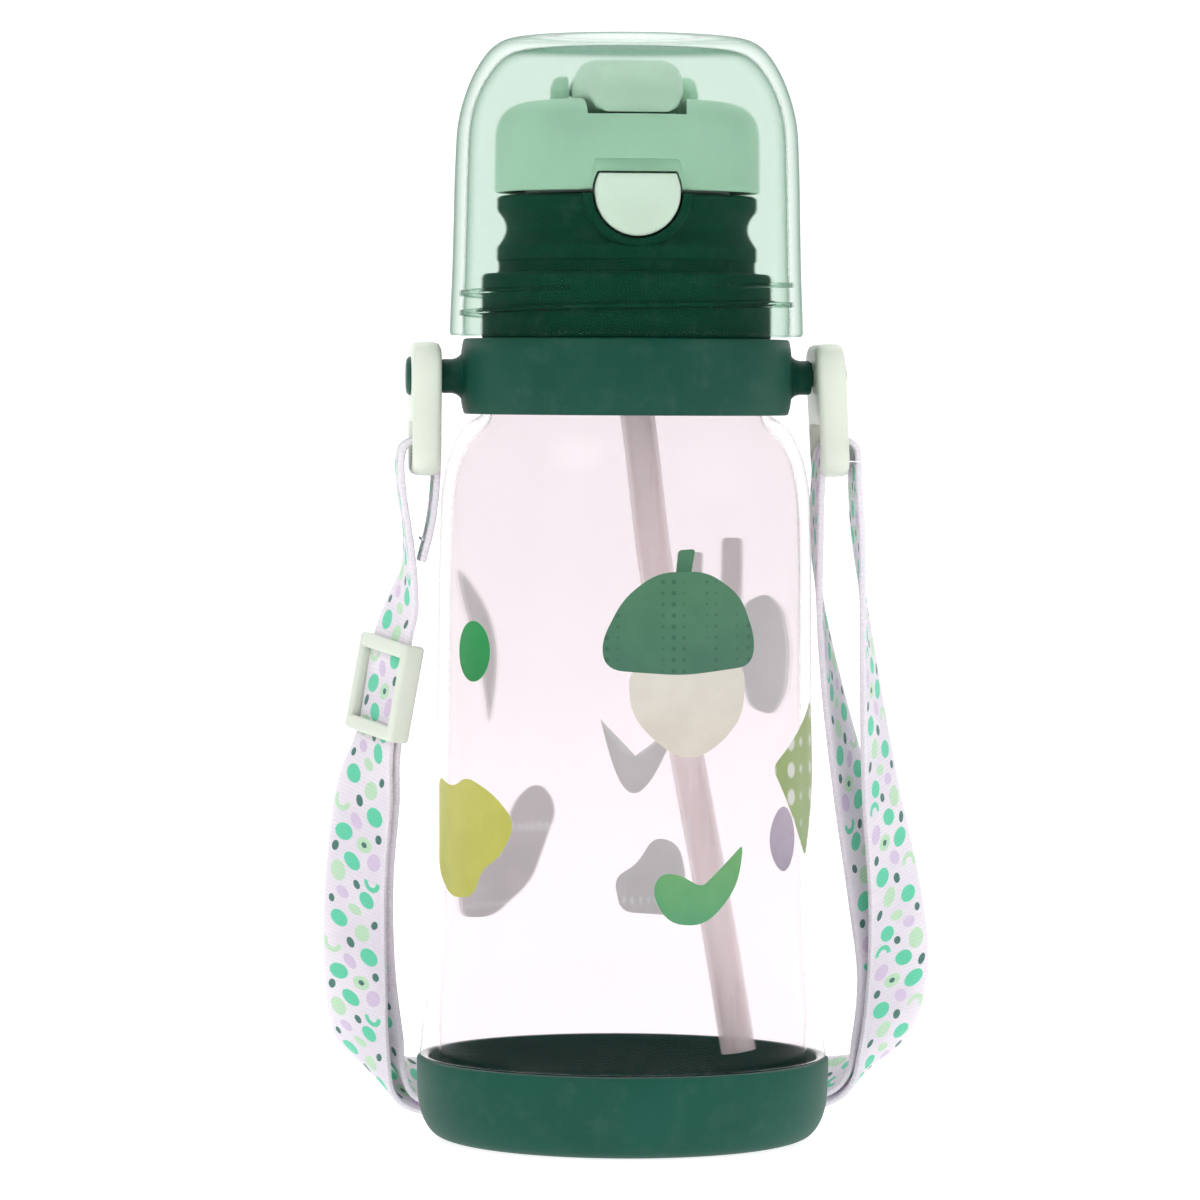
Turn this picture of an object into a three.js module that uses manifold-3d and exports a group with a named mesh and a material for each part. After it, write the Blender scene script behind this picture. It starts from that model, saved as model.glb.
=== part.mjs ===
// Children's water bottle with a screw-on dust cover, a flip cap, a spout flap, a straw and a carrying strap.
// Millimetres, +Z up. The origin is the middle of the underside, the button faces -Y and the lugs lie on X.
import * as THREE from "three";
import Module from "manifold-3d";
import { mergeVertices } from "three/addons/utils/BufferGeometryUtils.js";

const wasm = await Module();
wasm.setup();

// ---- Driving dimensions -------------------------------------------------------------------------------
const TAU = 2 * Math.PI;
const FIT = 0.3; // gap between pieces that touch
const RUN = 0.35; // running gap of a pin in its bore
const ROUND = 28; // facets round the large turned pieces

const BASE_R = 40; // radius of the boot
const BOOT_H = 16;
const BOOT_WALL = 2;
const BOOT_FLOOR = 2.4;
const POST_R = 2; // post that centres the bottle in its boot
const PUSH_UP = 5.6; // rise of the bottle's underside over that post

const BODY_R = 36.3; // radius of the bottle at half height
const BODY_WALL = 2.1;
const SHOULDER_Z = 128; // height at which the side turns into the shoulder
const NECK_Z = 140.4; // foot of the neck
const NECK_H = 11.6;
const NECK_R = 26.2; // bore of the neck
const NECK_WALL = 1.6;
const THREAD_PITCH = 3.8;
const THREAD_TURNS = 1.5;

const SKIRT_WALL = 1.2; // threaded skirt of the lid
const COLLAR_H = 14.7;
const COLLAR_R = 32.2; // widest radius of the barrel-shaped collar
const COLLAR_END_R = 31.2;

const RING_INSET = 6.2; // ring that the dust cover screws onto, inside the cover's outside
const RING_H = 12.2;
const WAIST_R = 25.1;
const GROOVE_DEPTH = 1.9;
const WAIST_H = 12.6;
const STEP_H = 2.4;
const LID_WALL = 2.2;

const CAP_OVERHANG = 0.5; // the flip cap's side stands out from the waist
const CAP_H = 18;
const CAP_WALL = 2;
const BUTTON_R = 8.15;
const BUTTON_TOP = 3.7; // flat top above the centre of the button's round part
const BUTTON_TRAVEL = 1.6;
const FLAP_HALF = 10.5; // half width of the spout flap at its hinge
const FLAP_TIP_HALF = 8.1; // half width at its front lip
const FLAP_SETBACK = 2.4; // lip behind the front of the cap
const EAR_W = 3.2;
const SPOUT_R = 4.6;
const PIN_R = 1.1;

const COVER_ROOM = 9.1; // radius of the dust cover at its mouth over that of the waist
const COVER_WALL = 2.3;
const COVER_H = 58;

const LUG_R = 3.3;
const LOOP_T = 5.6; // thickness of a strap loop along X
const LOOP_W = 21;
const LOOP_DROP = 19.2; // from the lug's axis to the loop's lower edge
const LOOP_RISE = 6.6;
const LOOP_BAR = 4.2; // height of the bar that the strap hangs on
const LOOP_LEAN = 3; // degrees that the right loop leans outward
const RIVET_R = 3.7;
const SHANK_R = 1.9;
const WEB_W = 15; // strap webbing
const WEB_T = 1.3;
const STRAW_R = 3.35;
const STRAW_BORE = 2.5;

// ---- Heights that follow from them --------------------------------------------------------------------
const NECK_TOP = NECK_Z + NECK_H;
const NECK_OUT = NECK_R + NECK_WALL;
const THREAD_H = 0.6;
const SKIRT_IN = NECK_OUT + THREAD_H + 0.4;
const SKIRT_OUT = SKIRT_IN + SKIRT_WALL;
const COLLAR_Z = NECK_Z; // the collar hides the foot of the neck
const COLLAR_TOP = COLLAR_Z + COLLAR_H;
const SEAL_H = 1.4;
const CEILING_Z = NECK_TOP + SEAL_H + 2 * FIT;
const RING_Z = COLLAR_TOP + FIT;
const RING_TOP = RING_Z + RING_H;
const WAIST_Z = RING_TOP + STEP_H;
const WAIST_TOP = WAIST_Z + WAIST_H;
const DECK_T = 2.4;
const GROOVE_R = WAIST_R - GROOVE_DEPTH;
const CAP_R = WAIST_R + CAP_OVERHANG;
const CAP_IN = CAP_R - CAP_WALL;
const RIB_R = CAP_IN - 5.7; // rib under the roof that carries the seal
const COVER_R = WAIST_R + COVER_ROOM;
const RING_R = COVER_R - RING_INSET;
const FLAP_REACH = CAP_R - FLAP_SETBACK;
const CAP_Z = WAIST_TOP + 0.6;
const CAP_TOP = CAP_Z + CAP_H;
const BUTTON_Z = WAIST_TOP;
const LUG_Z = COLLAR_Z + COLLAR_H / 2;
const COVER_Z = COLLAR_TOP + 0.5;
const COVER_TOP = COVER_Z + COVER_H;
const HINGE_Y = CAP_R + 0.4;
const HINGE_Z = CAP_Z + 1.6;
const KNUCKLE_R = 2.5;
const FLAP_PIN_Y = 8.5;
const FLAP_PIN_Z = CAP_TOP + 2;
const FLAP_TOP = FLAP_PIN_Z + 4.6;
const POCKET_Z = CAP_TOP - 3.6; // floor of the pocket that the flap closes
const STRAW_TOP = RING_TOP - 2;

// ---- Helpers ------------------------------------------------------------------------------------------
const v2 = (points) => points.map(([x, y]) => new THREE.Vector2(x, y));

// A three.js geometry as a manifold solid, and back.
function solid(geometry) {
  const g = geometry.index ? geometry.toNonIndexed() : geometry.clone();
  const bare = new THREE.BufferGeometry().setAttribute("position", g.getAttribute("position"));
  const merged = mergeVertices(bare, 1e-4);
  return new wasm.Manifold(
    new wasm.Mesh({
      numProp: 3,
      vertProperties: merged.attributes.position.array,
      triVerts: new Uint32Array(merged.index.array),
    }),
  );
}

function geometryOf(made) {
  const m = made.getMesh();
  const g = new THREE.BufferGeometry();
  g.setAttribute("position", new THREE.BufferAttribute(new Float32Array(m.vertProperties), 3));
  g.setIndex(new THREE.BufferAttribute(new Uint32Array(m.triVerts), 1));
  const flat = g.toNonIndexed();
  flat.computeVertexNormals();
  return flat;
}

// Turns a profile of [radius, height] about +Z. It starts and ends on the axis or closes on itself.
function turned(profile, facets = ROUND) {
  const g = new THREE.LatheGeometry(v2(profile), facets);
  g.rotateX(Math.PI / 2);
  const made = solid(g);
  return made.volume() < 0 ? turned([...profile].reverse(), facets) : made;
}

// A closed wall between an outer and an inner profile, both listed from the bottom up.
const walled = (outer, inner) => turned([...outer, ...[...inner].reverse(), outer[0]]);

const placed = (geometry, x, y, z) => solid(geometry.translate(x, y, z));
const rod = (r, length, x, y, z, facets = 20) =>
  placed(new THREE.CylinderGeometry(r, r, length, facets).rotateX(Math.PI / 2), x, y, z);
const rodX = (r, length, x, y, z, facets = 20) =>
  placed(new THREE.CylinderGeometry(r, r, length, facets).rotateZ(Math.PI / 2), x, y, z);
const rodY = (r, length, x, y, z, facets = 20) =>
  placed(new THREE.CylinderGeometry(r, r, length, facets), x, y, z);
const block = (w, d, h, x, y, z) => placed(new THREE.BoxGeometry(w, d, h), x, y, z);

// A flat outline in (x, y), extruded up from height z.
function plate(shape, height, z) {
  return solid(new THREE.ExtrudeGeometry(shape, { depth: height, bevelEnabled: false, curveSegments: 10 })
    .translate(0, 0, z));
}

// A helical ridge that stands out of a wall of radius r by h, or into it where h is negative.
function helix(r, h, z, turns, facets = 24) {
  class Helix extends THREE.Curve {
    getPoint(t, target = new THREE.Vector3()) {
      const a = t * turns * TAU;
      return target.set(r * Math.cos(a), r * Math.sin(a), z + t * turns * THREAD_PITCH);
    }
    getPointAt(t, target) {
      return this.getPoint(t, target);
    }
    computeFrenetFrames(steps) {
      const frames = { tangents: [], normals: [], binormals: [] };
      for (let i = 0; i <= steps; i++) {
        const a = (i / steps) * turns * TAU;
        const tangent = new THREE.Vector3(-Math.sin(a), Math.cos(a), THREAD_PITCH / (TAU * r)).normalize();
        const normal = new THREE.Vector3(Math.cos(a), Math.sin(a), 0);
        frames.tangents.push(tangent);
        frames.normals.push(normal);
        frames.binormals.push(new THREE.Vector3().crossVectors(tangent, normal));
      }
      return frames;
    }
  }
  const foot = -0.3 * Math.sign(h);
  const section = [[foot, -0.7], [h, -0.3], [h, 0.3], [foot, 0.7]];
  const ridge = new THREE.Shape(v2(h > 0 ? section : [...section].reverse()));
  const steps = Math.round(turns * facets);
  return solid(new THREE.ExtrudeGeometry(ridge, { steps, extrudePath: new Helix() }));
}

const root = new THREE.Group();
const lidGroup = new THREE.Group();
const strapGroup = new THREE.Group();
root.add(lidGroup, strapGroup);

function piece(name, made, colour, roughness, group = root, extra = {}, at = [0, 0, 0]) {
  const material = new THREE.MeshStandardMaterial({ color: colour, roughness, metalness: 0, ...extra });
  const mesh = new THREE.Mesh(geometryOf(made), material);
  mesh.name = name;
  mesh.position.set(...at);
  group.add(mesh);
}

const DARK_GREEN = 0x23584b;
const LIGHT_GREEN = 0x9ccbaa;
const CREAM = 0xe1e8da;
const SAGE = 0xdae2d4;
const PINK = 0xf3e7eb;
const SILICONE = 0xeef2ee;
const STEEL = { metalness: 1 };

// ---- Boot ---------------------------------------------------------------------------------------------
const BOOT_IN = BASE_R - BOOT_WALL;
function baseBoot() {
  const outer = [[0, 0], [33.5, 0], [36.2, 0.8], [38, 2.6], [39.3, 5.4], [39.9, 9], [BASE_R, BOOT_H]];
  const inner = [[0, BOOT_FLOOR], [33.5, BOOT_FLOOR], [36.4, 4.2], [37.6, 7.2], [BOOT_IN, 10], [BOOT_IN, BOOT_H]];
  const shell = turned([...outer, ...[...inner].reverse()]);
  const height = PUSH_UP + FIT;
  return shell.add(rod(POST_R, height, 0, 0, BOOT_FLOOR + height / 2 - 0.1));
}

// ---- Bottle body --------------------------------------------------------------------------------------
const BODY_Z = BOOT_FLOOR + 0.5;
const BODY_IN_BOOT = BOOT_IN - 0.4;
function bottleBody() {
  const outer = [
    [0, BODY_Z + PUSH_UP], [10, BODY_Z + 0.9 * PUSH_UP], [20, BODY_Z + 0.62 * PUSH_UP],
    [28, BODY_Z + 0.2 * PUSH_UP], [31, BODY_Z], [33.2, BODY_Z], [35.6, BODY_Z + 1.6],
    [BODY_IN_BOOT - 0.6, BODY_Z + 4.5], [BODY_IN_BOOT, BODY_Z + 8], [BODY_IN_BOOT, BOOT_H + 0.4],
    [BASE_R - 0.5, BOOT_H + 0.4], [BASE_R - 0.3, BOOT_H + 2], [BASE_R - 0.9, BOOT_H + 5],
    [BODY_R + 2, 26], [BODY_R + 1.3, 31], [BODY_R + 0.7, 43], [BODY_R + 0.3, 58], [BODY_R, 90],
    [BODY_R - 0.2, 112], [BODY_R - 0.5, SHOULDER_Z - 4], [BODY_R - 1, SHOULDER_Z],
    [BODY_R - 2, SHOULDER_Z + 4.4], [BODY_R - 3.9, SHOULDER_Z + 8.6], [BODY_R - 5.4, NECK_Z - 1.6],
    [NECK_OUT + 0.8, NECK_Z - 0.5], [NECK_OUT, NECK_Z], [NECK_OUT, NECK_TOP],
  ];
  const w = BODY_WALL;
  const inner = [
    [0, BODY_Z + PUSH_UP + w], [10, BODY_Z + 0.9 * PUSH_UP + w], [20, BODY_Z + 0.62 * PUSH_UP + w],
    [28, BODY_Z + 0.2 * PUSH_UP + w], [31, BODY_Z + w], [32.4, BODY_Z + w + 0.4], [34.2, BODY_Z + w + 2.6],
    [BODY_IN_BOOT - w, BODY_Z + 8], [BODY_IN_BOOT - w, BOOT_H + 2], [BODY_R + 2 - w, 26],
    [BODY_R + 1.3 - w, 31], [BODY_R + 0.7 - w, 43], [BODY_R + 0.3 - w, 58], [BODY_R - w, 90],
    [BODY_R - 0.2 - w, 112], [BODY_R - 0.5 - w, SHOULDER_Z - 4], [BODY_R - 1 - w, SHOULDER_Z - 0.5],
    [BODY_R - 2 - w, SHOULDER_Z + 3.6], [BODY_R - 3.9 - w, SHOULDER_Z + 7.2], [NECK_R + 1.8, NECK_Z - 2.6],
    [NECK_R, NECK_Z - 1], [NECK_R, NECK_TOP],
  ];
  const shell = turned([...outer, ...[...inner].reverse()]);
  return shell.add(helix(NECK_OUT, THREAD_H, NECK_Z + 3.2, THREAD_TURNS));
}

piece("base_boot", baseBoot(), DARK_GREEN, 0.5);
piece("bottle_body", bottleBody(), PINK, 0.08, root, { transparent: true, opacity: 0.35 });

// ---- Lid body -----------------------------------------------------------------------------------------
const STRAW_HOLE_R = 4.4;
const VENT_Y = (STRAW_HOLE_R + RIB_R + 0.7) / 2; // between the straw's hole and the cap's seal
const DRINK_HOLE_Y = -VENT_Y;
const DRINK_HOLE_R = 4;
const VENT_R = 2.2;
const DECK_Z = WAIST_TOP - DECK_T; // underside of the deck under the flip cap
const POCKET_R = BUTTON_R + 0.45;
const BUTTON_BACK_Y = 5.6 - WAIST_R; // back of the button's socket

function lidBody() {
  const outer = [
    [SKIRT_OUT, COLLAR_Z + 0.8], [SKIRT_OUT, COLLAR_TOP - 0.4], [RING_R - 0.2, RING_Z - 0.2],
    [RING_R, RING_Z], [RING_R, RING_TOP - 1], [RING_R - 0.8, RING_TOP], [WAIST_R - 0.3, RING_TOP],
    [WAIST_R - 0.3, WAIST_Z], [WAIST_R, WAIST_Z + 0.2], [WAIST_R, WAIST_Z + 2.8],
    [GROOVE_R + 0.5, WAIST_Z + 4.4], [GROOVE_R, WAIST_Z + 6.2], [GROOVE_R + 0.5, WAIST_Z + 8],
    [WAIST_R, WAIST_Z + 9.8], [WAIST_R, WAIST_TOP - 0.5], [WAIST_R - 0.6, WAIST_TOP],
    [STRAW_HOLE_R, WAIST_TOP],
  ];
  const inner = [
    [SKIRT_IN, COLLAR_Z + 0.8], [SKIRT_IN, CEILING_Z], [RING_R - LID_WALL, CEILING_Z],
    [RING_R - LID_WALL, RING_TOP - LID_WALL], [GROOVE_R - LID_WALL, RING_TOP - LID_WALL],
    [GROOVE_R - LID_WALL, DECK_Z], [STRAW_HOLE_R, DECK_Z],
  ];
  let made = walled(outer, inner);
  made = made.add(helix(RING_R, 1.3, RING_Z + 3, THREAD_TURNS));
  // Round boss that carries the button's socket across the groove, kept inside the waist.
  const boss = rodY(BUTTON_R + 2.3, 8.6, 0, -WAIST_R + 4.2, BUTTON_Z, 40);
  made = made.add(boss.intersect(rod(WAIST_R, WAIST_H, 0, 0, WAIST_Z + WAIST_H / 2, ROUND)));
  const socketLength = 12;
  made = made.subtract(rodY(POCKET_R, socketLength, 0, BUTTON_BACK_Y - socketLength / 2, BUTTON_Z, 40));
  made = made.subtract(rod(DRINK_HOLE_R, 3 * DECK_T, 0, DRINK_HOLE_Y, WAIST_TOP, 24));
  made = made.subtract(rod(VENT_R, 3 * DECK_T, 0, VENT_Y, WAIST_TOP, 16));
  // Two knuckles at the back, each on a rib that grows out of the waist.
  for (const side of [-1, 1]) {
    const x = side * 7.4;
    made = made.add(rodX(KNUCKLE_R, 3.6, x, HINGE_Y, HINGE_Z));
    made = made.add(block(3.6, 4.4, 5.6, x, HINGE_Y - 2.6, WAIST_TOP - 2));
    made = made.add(block(3.6, 2.4, 3, x, HINGE_Y - 0.4, WAIST_TOP - 0.8));
  }
  // Room for the cap's knuckle and the spring, and the bore of the hinge pin.
  made = made.subtract(rodX(KNUCKLE_R + 0.6, 11, 0, HINGE_Y, HINGE_Z));
  return made.subtract(rodX(PIN_R + 0.05 + RUN, 30, 0, HINGE_Y, HINGE_Z));
}

piece("lid_body", lidBody(), DARK_GREEN, 0.45, lidGroup);

// ---- Collar with its lugs -----------------------------------------------------------------------------
const COLLAR_IN = SKIRT_OUT + FIT;
const LUG_END = BODY_R - 0.4; // the lug's face that the loop turns against
function carryCollar() {
  const mid = COLLAR_H / 2;
  const outer = [
    [COLLAR_END_R - 0.7, COLLAR_Z], [COLLAR_END_R, COLLAR_Z + 0.5], [COLLAR_R - 0.2, COLLAR_Z + mid * 0.6],
    [COLLAR_R, COLLAR_Z + mid], [COLLAR_R - 0.2, COLLAR_Z + mid * 1.4], [COLLAR_END_R, COLLAR_TOP - 0.5],
    [COLLAR_END_R - 0.6, COLLAR_TOP],
  ];
  const inner = [[COLLAR_IN, COLLAR_Z], [COLLAR_IN, COLLAR_TOP]];
  let made = walled(outer, inner);
  for (const side of [-1, 1]) {
    const from = COLLAR_R - 1.2;
    made = made.add(rodX(LUG_R, LUG_END - from, side * (from + LUG_END) / 2, 0, LUG_Z, 24));
    made = made.subtract(rodX(SHANK_R + 0.05, 12, side * LUG_END, 0, LUG_Z, 16));
  }
  return made.subtract(rod(COLLAR_IN, 2 * COLLAR_H, 0, 0, LUG_Z, ROUND));
}

piece("carry_collar", carryCollar(), DARK_GREEN, 0.5, lidGroup);

// ---- Seal, straw and valves ---------------------------------------------------------------------------
function ring(r0, r1, z0, z1, facets = ROUND) {
  return turned([[r0, z0], [r1, z0], [r1, z1], [r0, z1], [r0, z0]], facets);
}

piece("lid_seal", ring(NECK_R - 0.2, SKIRT_IN - 0.5, NECK_TOP + FIT, CEILING_Z - FIT), SILICONE, 0.6, lidGroup);

const CONNECTOR_R = STRAW_R + 1.6;
const CONNECTOR_Z = STRAW_TOP - 9;
function strawConnector() {
  const bore = STRAW_R + FIT;
  return turned([
    [bore, CONNECTOR_Z], [CONNECTOR_R, CONNECTOR_Z], [CONNECTOR_R, DECK_Z - 1.5], [7, DECK_Z - 1.5],
    [7, DECK_Z - FIT], [STRAW_HOLE_R - FIT, DECK_Z - FIT], [STRAW_HOLE_R - FIT, WAIST_TOP + 0.4],
    [STRAW_BORE, WAIST_TOP + 0.4], [STRAW_BORE, STRAW_TOP + 0.5], [bore, STRAW_TOP + 0.5],
    [bore, CONNECTOR_Z],
  ], 24);
}
piece("straw_connector", strawConnector(), SILICONE, 0.6, lidGroup);

// The straw leaves the connector straight down and bends towards the wall at the foot of the bottle.
const STRAW_ROUTE = [
  [0, 0, STRAW_TOP], [0, 0, 158], [0.6, 0, 150], [2.6, -0.3, 137.5], [5.8, -0.8, 111.5],
  [11.6, -1.8, 77], [18.1, -2.8, 42], [22.3, -3.4, 17],
];
function straw() {
  const path = new THREE.CatmullRomCurve3(STRAW_ROUTE.map((p) => new THREE.Vector3(...p)));
  const section = new THREE.Shape().absarc(0, 0, STRAW_R, 0, TAU);
  section.holes.push(new THREE.Path().absarc(0, 0, STRAW_BORE, 0, TAU, true));
  const tube = new THREE.ExtrudeGeometry(section, { steps: 16, extrudePath: path, curveSegments: 6 });
  const end = STRAW_ROUTE.at(-1);
  // The inner end is cut on a slant, so that it can't seal against the floor.
  const wide = 5 * STRAW_R;
  const tall = 3 * STRAW_R;
  const slant = new THREE.BoxGeometry(wide, wide, tall).translate(0, 0, -tall / 2).rotateY(-0.35)
    .translate(end[0] + 0.17, end[1], end[2] + 0.42);
  return solid(tube).subtract(solid(slant));
}
piece("straw", straw(), 0xeed9d8, 0.3, lidGroup, { transparent: true, opacity: 0.6 });

function ventValve() {
  const head = VENT_R + 1;
  return turned([
    [0.5, DECK_Z - 3], [1, DECK_Z - 3], [VENT_R - FIT, DECK_Z - 1], [VENT_R - FIT, WAIST_TOP + FIT],
    [head, WAIST_TOP + FIT], [head, WAIST_TOP + 0.8], [0.5, WAIST_TOP + 0.8], [0.5, DECK_Z - 3],
  ], 16);
}
piece("vent_valve", ventValve(), SILICONE, 0.6, lidGroup, {}, [0, VENT_Y, 0]);

// ---- Flip cap -----------------------------------------------------------------------------------------
const ROOF_Z = POCKET_Z - 1.8; // underside of the cap's roof
const FLAP_Z = POCKET_Z + 0.9; // underside of the flap
const FLAP_SWING = 5.2; // room behind the flap's pin
const RIB_WALL = 1.4;
const EAR_X = FLAP_HALF + 0.5;

// Tongue-shaped outline, widest at the hinge, grown by gap on every side.
function tongue(gap, front, back) {
  const wide = FLAP_HALF + gap;
  const tip = FLAP_TIP_HALF + gap;
  const shape = new THREE.Shape();
  shape.moveTo(-wide, back);
  shape.lineTo(-wide, -4);
  shape.lineTo(-tip - 0.6, front + 3);
  shape.quadraticCurveTo(-tip, front, -tip + 2.4, front);
  shape.lineTo(tip - 2.4, front);
  shape.quadraticCurveTo(tip, front, tip + 0.6, front + 3);
  shape.lineTo(wide, -4);
  shape.lineTo(wide, back);
  return shape;
}

// The D-shaped outline of the button, grown by gap, as a bar along -Y from y = back to y = front.
function dee(gap, back, front) {
  const length = back - front;
  const round = rodY(BUTTON_R + gap, length, 0, (back + front) / 2, BUTTON_Z, 40);
  const low = BUTTON_R + gap;
  const keep = block(2 * low, length, BUTTON_TOP + gap + low, 0, (back + front) / 2,
    BUTTON_Z + (BUTTON_TOP + gap - low) / 2);
  return round.intersect(keep);
}

function flipCap() {
  const outer = [
    [CAP_R, CAP_Z], [CAP_R, CAP_TOP - 6.2], [CAP_R - 0.9, CAP_TOP - 3.6], [CAP_R - 2.6, CAP_TOP - 1.7],
    [CAP_R - 5.2, CAP_TOP - 0.7], [CAP_R - 9, CAP_TOP - 0.2], [SPOUT_R + FIT, CAP_TOP],
  ];
  const inner = [
    [CAP_IN, CAP_Z], [CAP_IN, ROOF_Z - 2.6], [CAP_IN - 2.2, ROOF_Z], [SPOUT_R + FIT, ROOF_Z],
  ];
  let made = walled(outer, inner);
  made = made.add(ring(RIB_R, RIB_R + RIB_WALL, CAP_Z + 1.6, ROOF_Z + 0.2));
  // Pocket of the flap, open at the front shoulder.
  const pocket = tongue(0.45, -CAP_R - 3, FLAP_PIN_Y + FLAP_SWING);
  made = made.subtract(plate(pocket, 8, POCKET_Z));
  made = made.subtract(dee(0.45, -RIB_R - RIB_WALL - 0.3, -CAP_R - 3));
  for (const side of [-1, 1]) {
    // Ears beside the flap.
    const x = side * (EAR_X + EAR_W / 2);
    const ear = rodX(2.6, EAR_W, x, FLAP_PIN_Y, FLAP_PIN_Z, 24);
    made = made.add(ear).add(block(EAR_W, 9, 3.6, x, FLAP_PIN_Y, CAP_TOP - 0.8));
    made = made.subtract(rodX(PIN_R + 0.05, 40, 0, FLAP_PIN_Y, FLAP_PIN_Z));
  }
  // Notch for the lid's knuckles and the spring, with the cap's own knuckles in it.
  made = made.subtract(block(19.4, 8.6, 8, 0, HINGE_Y - 0.9, HINGE_Z - 0.2));
  const knuckle = 2.8;
  for (const side of [-1, 1]) {
    const x = side * (5.1 - knuckle / 2);
    made = made.add(rodX(KNUCKLE_R, knuckle, x, HINGE_Y, HINGE_Z));
    made = made.add(block(knuckle, 2.6, 6.5, x, HINGE_Y - 2, HINGE_Z + 2.4));
  }
  return made.subtract(rodX(PIN_R + 0.05, 30, 0, HINGE_Y, HINGE_Z));
}
piece("flip_cap", flipCap(), LIGHT_GREEN, 0.4, lidGroup);

piece("cap_seal", ring(RIB_R - 0.4, RIB_R + RIB_WALL + 0.4, WAIST_TOP + FIT, CAP_Z + 1.6 - FIT),
  SILICONE, 0.6, lidGroup);

function mouthpiece() {
  const low = WAIST_TOP + 0.4 + FIT;
  return turned([
    [STRAW_BORE, low], [SPOUT_R - 0.8, low], [SPOUT_R - 0.8, ROOF_Z - 3.2], [7.4, ROOF_Z - 2],
    [7.4, ROOF_Z - FIT], [SPOUT_R, ROOF_Z - FIT], [SPOUT_R, POCKET_Z + 2.4], [SPOUT_R - 0.7, POCKET_Z + 4.2],
    [STRAW_BORE, POCKET_Z + 4.2], [STRAW_BORE, low],
  ], 24);
}
piece("mouthpiece", mouthpiece(), SILICONE, 0.6, lidGroup);

const HINGE_PIN_LENGTH = 18.2;
piece("cap_hinge_pin", rodX(PIN_R - 0.05, HINGE_PIN_LENGTH, 0, HINGE_Y, HINGE_Z, 16), 0xb9bdc1, 0.3, lidGroup, STEEL);

// Torsion spring round the hinge pin, with one leg on the deck.
const SPRING_WIRE = 0.35;
function coil(r, turns, pitch, steps) {
  class Coil extends THREE.Curve {
    getPoint(t, target = new THREE.Vector3()) {
      const a = t * turns * TAU;
      return target.set((t - 0.5) * turns * pitch, r * Math.cos(a), r * Math.sin(a));
    }
  }
  const section = new THREE.Shape().absarc(0, 0, SPRING_WIRE, 0, TAU);
  return new THREE.ExtrudeGeometry(section, { steps, extrudePath: new Coil(), curveSegments: 3 });
}
piece("cap_spring", solid(coil(1.95, 3, 0.95, 36)), 0xc4c8cc, 0.3, lidGroup, STEEL, [0, HINGE_Y, HINGE_Z]);

// ---- Spout flap ---------------------------------------------------------------------------------------
// Maps an outline drawn in (y, z) to a bar along X.
const alongX = new THREE.Matrix4().makeBasis(
  new THREE.Vector3(0, 1, 0), new THREE.Vector3(0, 0, 1), new THREE.Vector3(1, 0, 0));
function barX(points, width, hole) {
  const shape = new THREE.Shape(v2(points));
  if (hole) shape.holes.push(new THREE.Path(v2(hole)));
  const g = new THREE.ExtrudeGeometry(shape, { depth: width, bevelEnabled: false });
  return solid(g.translate(0, 0, -width / 2).applyMatrix4(alongX));
}

function spoutFlap() {
  const back = FLAP_PIN_Y;
  const side = [
    [-FLAP_REACH, FLAP_Z], [1, FLAP_Z], [back - 4.4, FLAP_Z + 1], [back + 1, FLAP_PIN_Z - 3.9],
    [back + 3.1, FLAP_PIN_Z - 2.4], [back + 4.1, FLAP_PIN_Z], [back + 3.6, FLAP_PIN_Z + 1.6],
    [back + 1.4, FLAP_PIN_Z + 3.5], [back - 3, FLAP_TOP - 0.2], [-2, FLAP_TOP], [-8, FLAP_TOP - 0.4],
    [-14, FLAP_TOP - 2], [-19, FLAP_Z + 5.4], [-22.2, FLAP_Z + 3], [-FLAP_REACH, FLAP_Z + 1.2],
  ];
  let made = barX(side, 2 * FLAP_HALF + 4);
  made = made.intersect(plate(tongue(0, -FLAP_REACH, back + 6), 20, FLAP_Z - 2));
  // Rounded shoulders, seen from the front.
  const w = FLAP_HALF;
  const front = new THREE.Shape();
  front.moveTo(-w, FLAP_Z - 3);
  front.lineTo(-w, FLAP_TOP - 3.4);
  front.quadraticCurveTo(-w, FLAP_TOP, -w + 3.4, FLAP_TOP + 0.01);
  front.lineTo(w - 3.4, FLAP_TOP + 0.01);
  front.quadraticCurveTo(w, FLAP_TOP, w, FLAP_TOP - 3.4);
  front.lineTo(w, FLAP_Z - 3);
  const bar = new THREE.ExtrudeGeometry(front, { depth: 60, bevelEnabled: false, curveSegments: 6 });
  made = made.intersect(solid(bar.translate(0, 0, -30).rotateX(Math.PI / 2)));
  // Hollow for the mouthpiece, clear of the pin.
  const hollow = block(14, 16, FLAP_TOP - 1.8 - FLAP_Z + 2, 0, -1.5, (FLAP_TOP - 1.8 + FLAP_Z - 2) / 2);
  made = made.subtract(hollow.subtract(rodX(3.2, 30, 0, FLAP_PIN_Y, FLAP_PIN_Z, 24)));
  return made.subtract(rodX(PIN_R + RUN, 40, 0, FLAP_PIN_Y, FLAP_PIN_Z));
}
piece("spout_flap", spoutFlap(), 0xb9d9c2, 0.4, lidGroup);
piece("flap_hinge_pin", rodX(PIN_R - 0.25, 2 * (EAR_X + EAR_W) - 0.6, 0, FLAP_PIN_Y, FLAP_PIN_Z, 16),
  0xb9bdc1, 0.3, lidGroup, STEEL);

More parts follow.
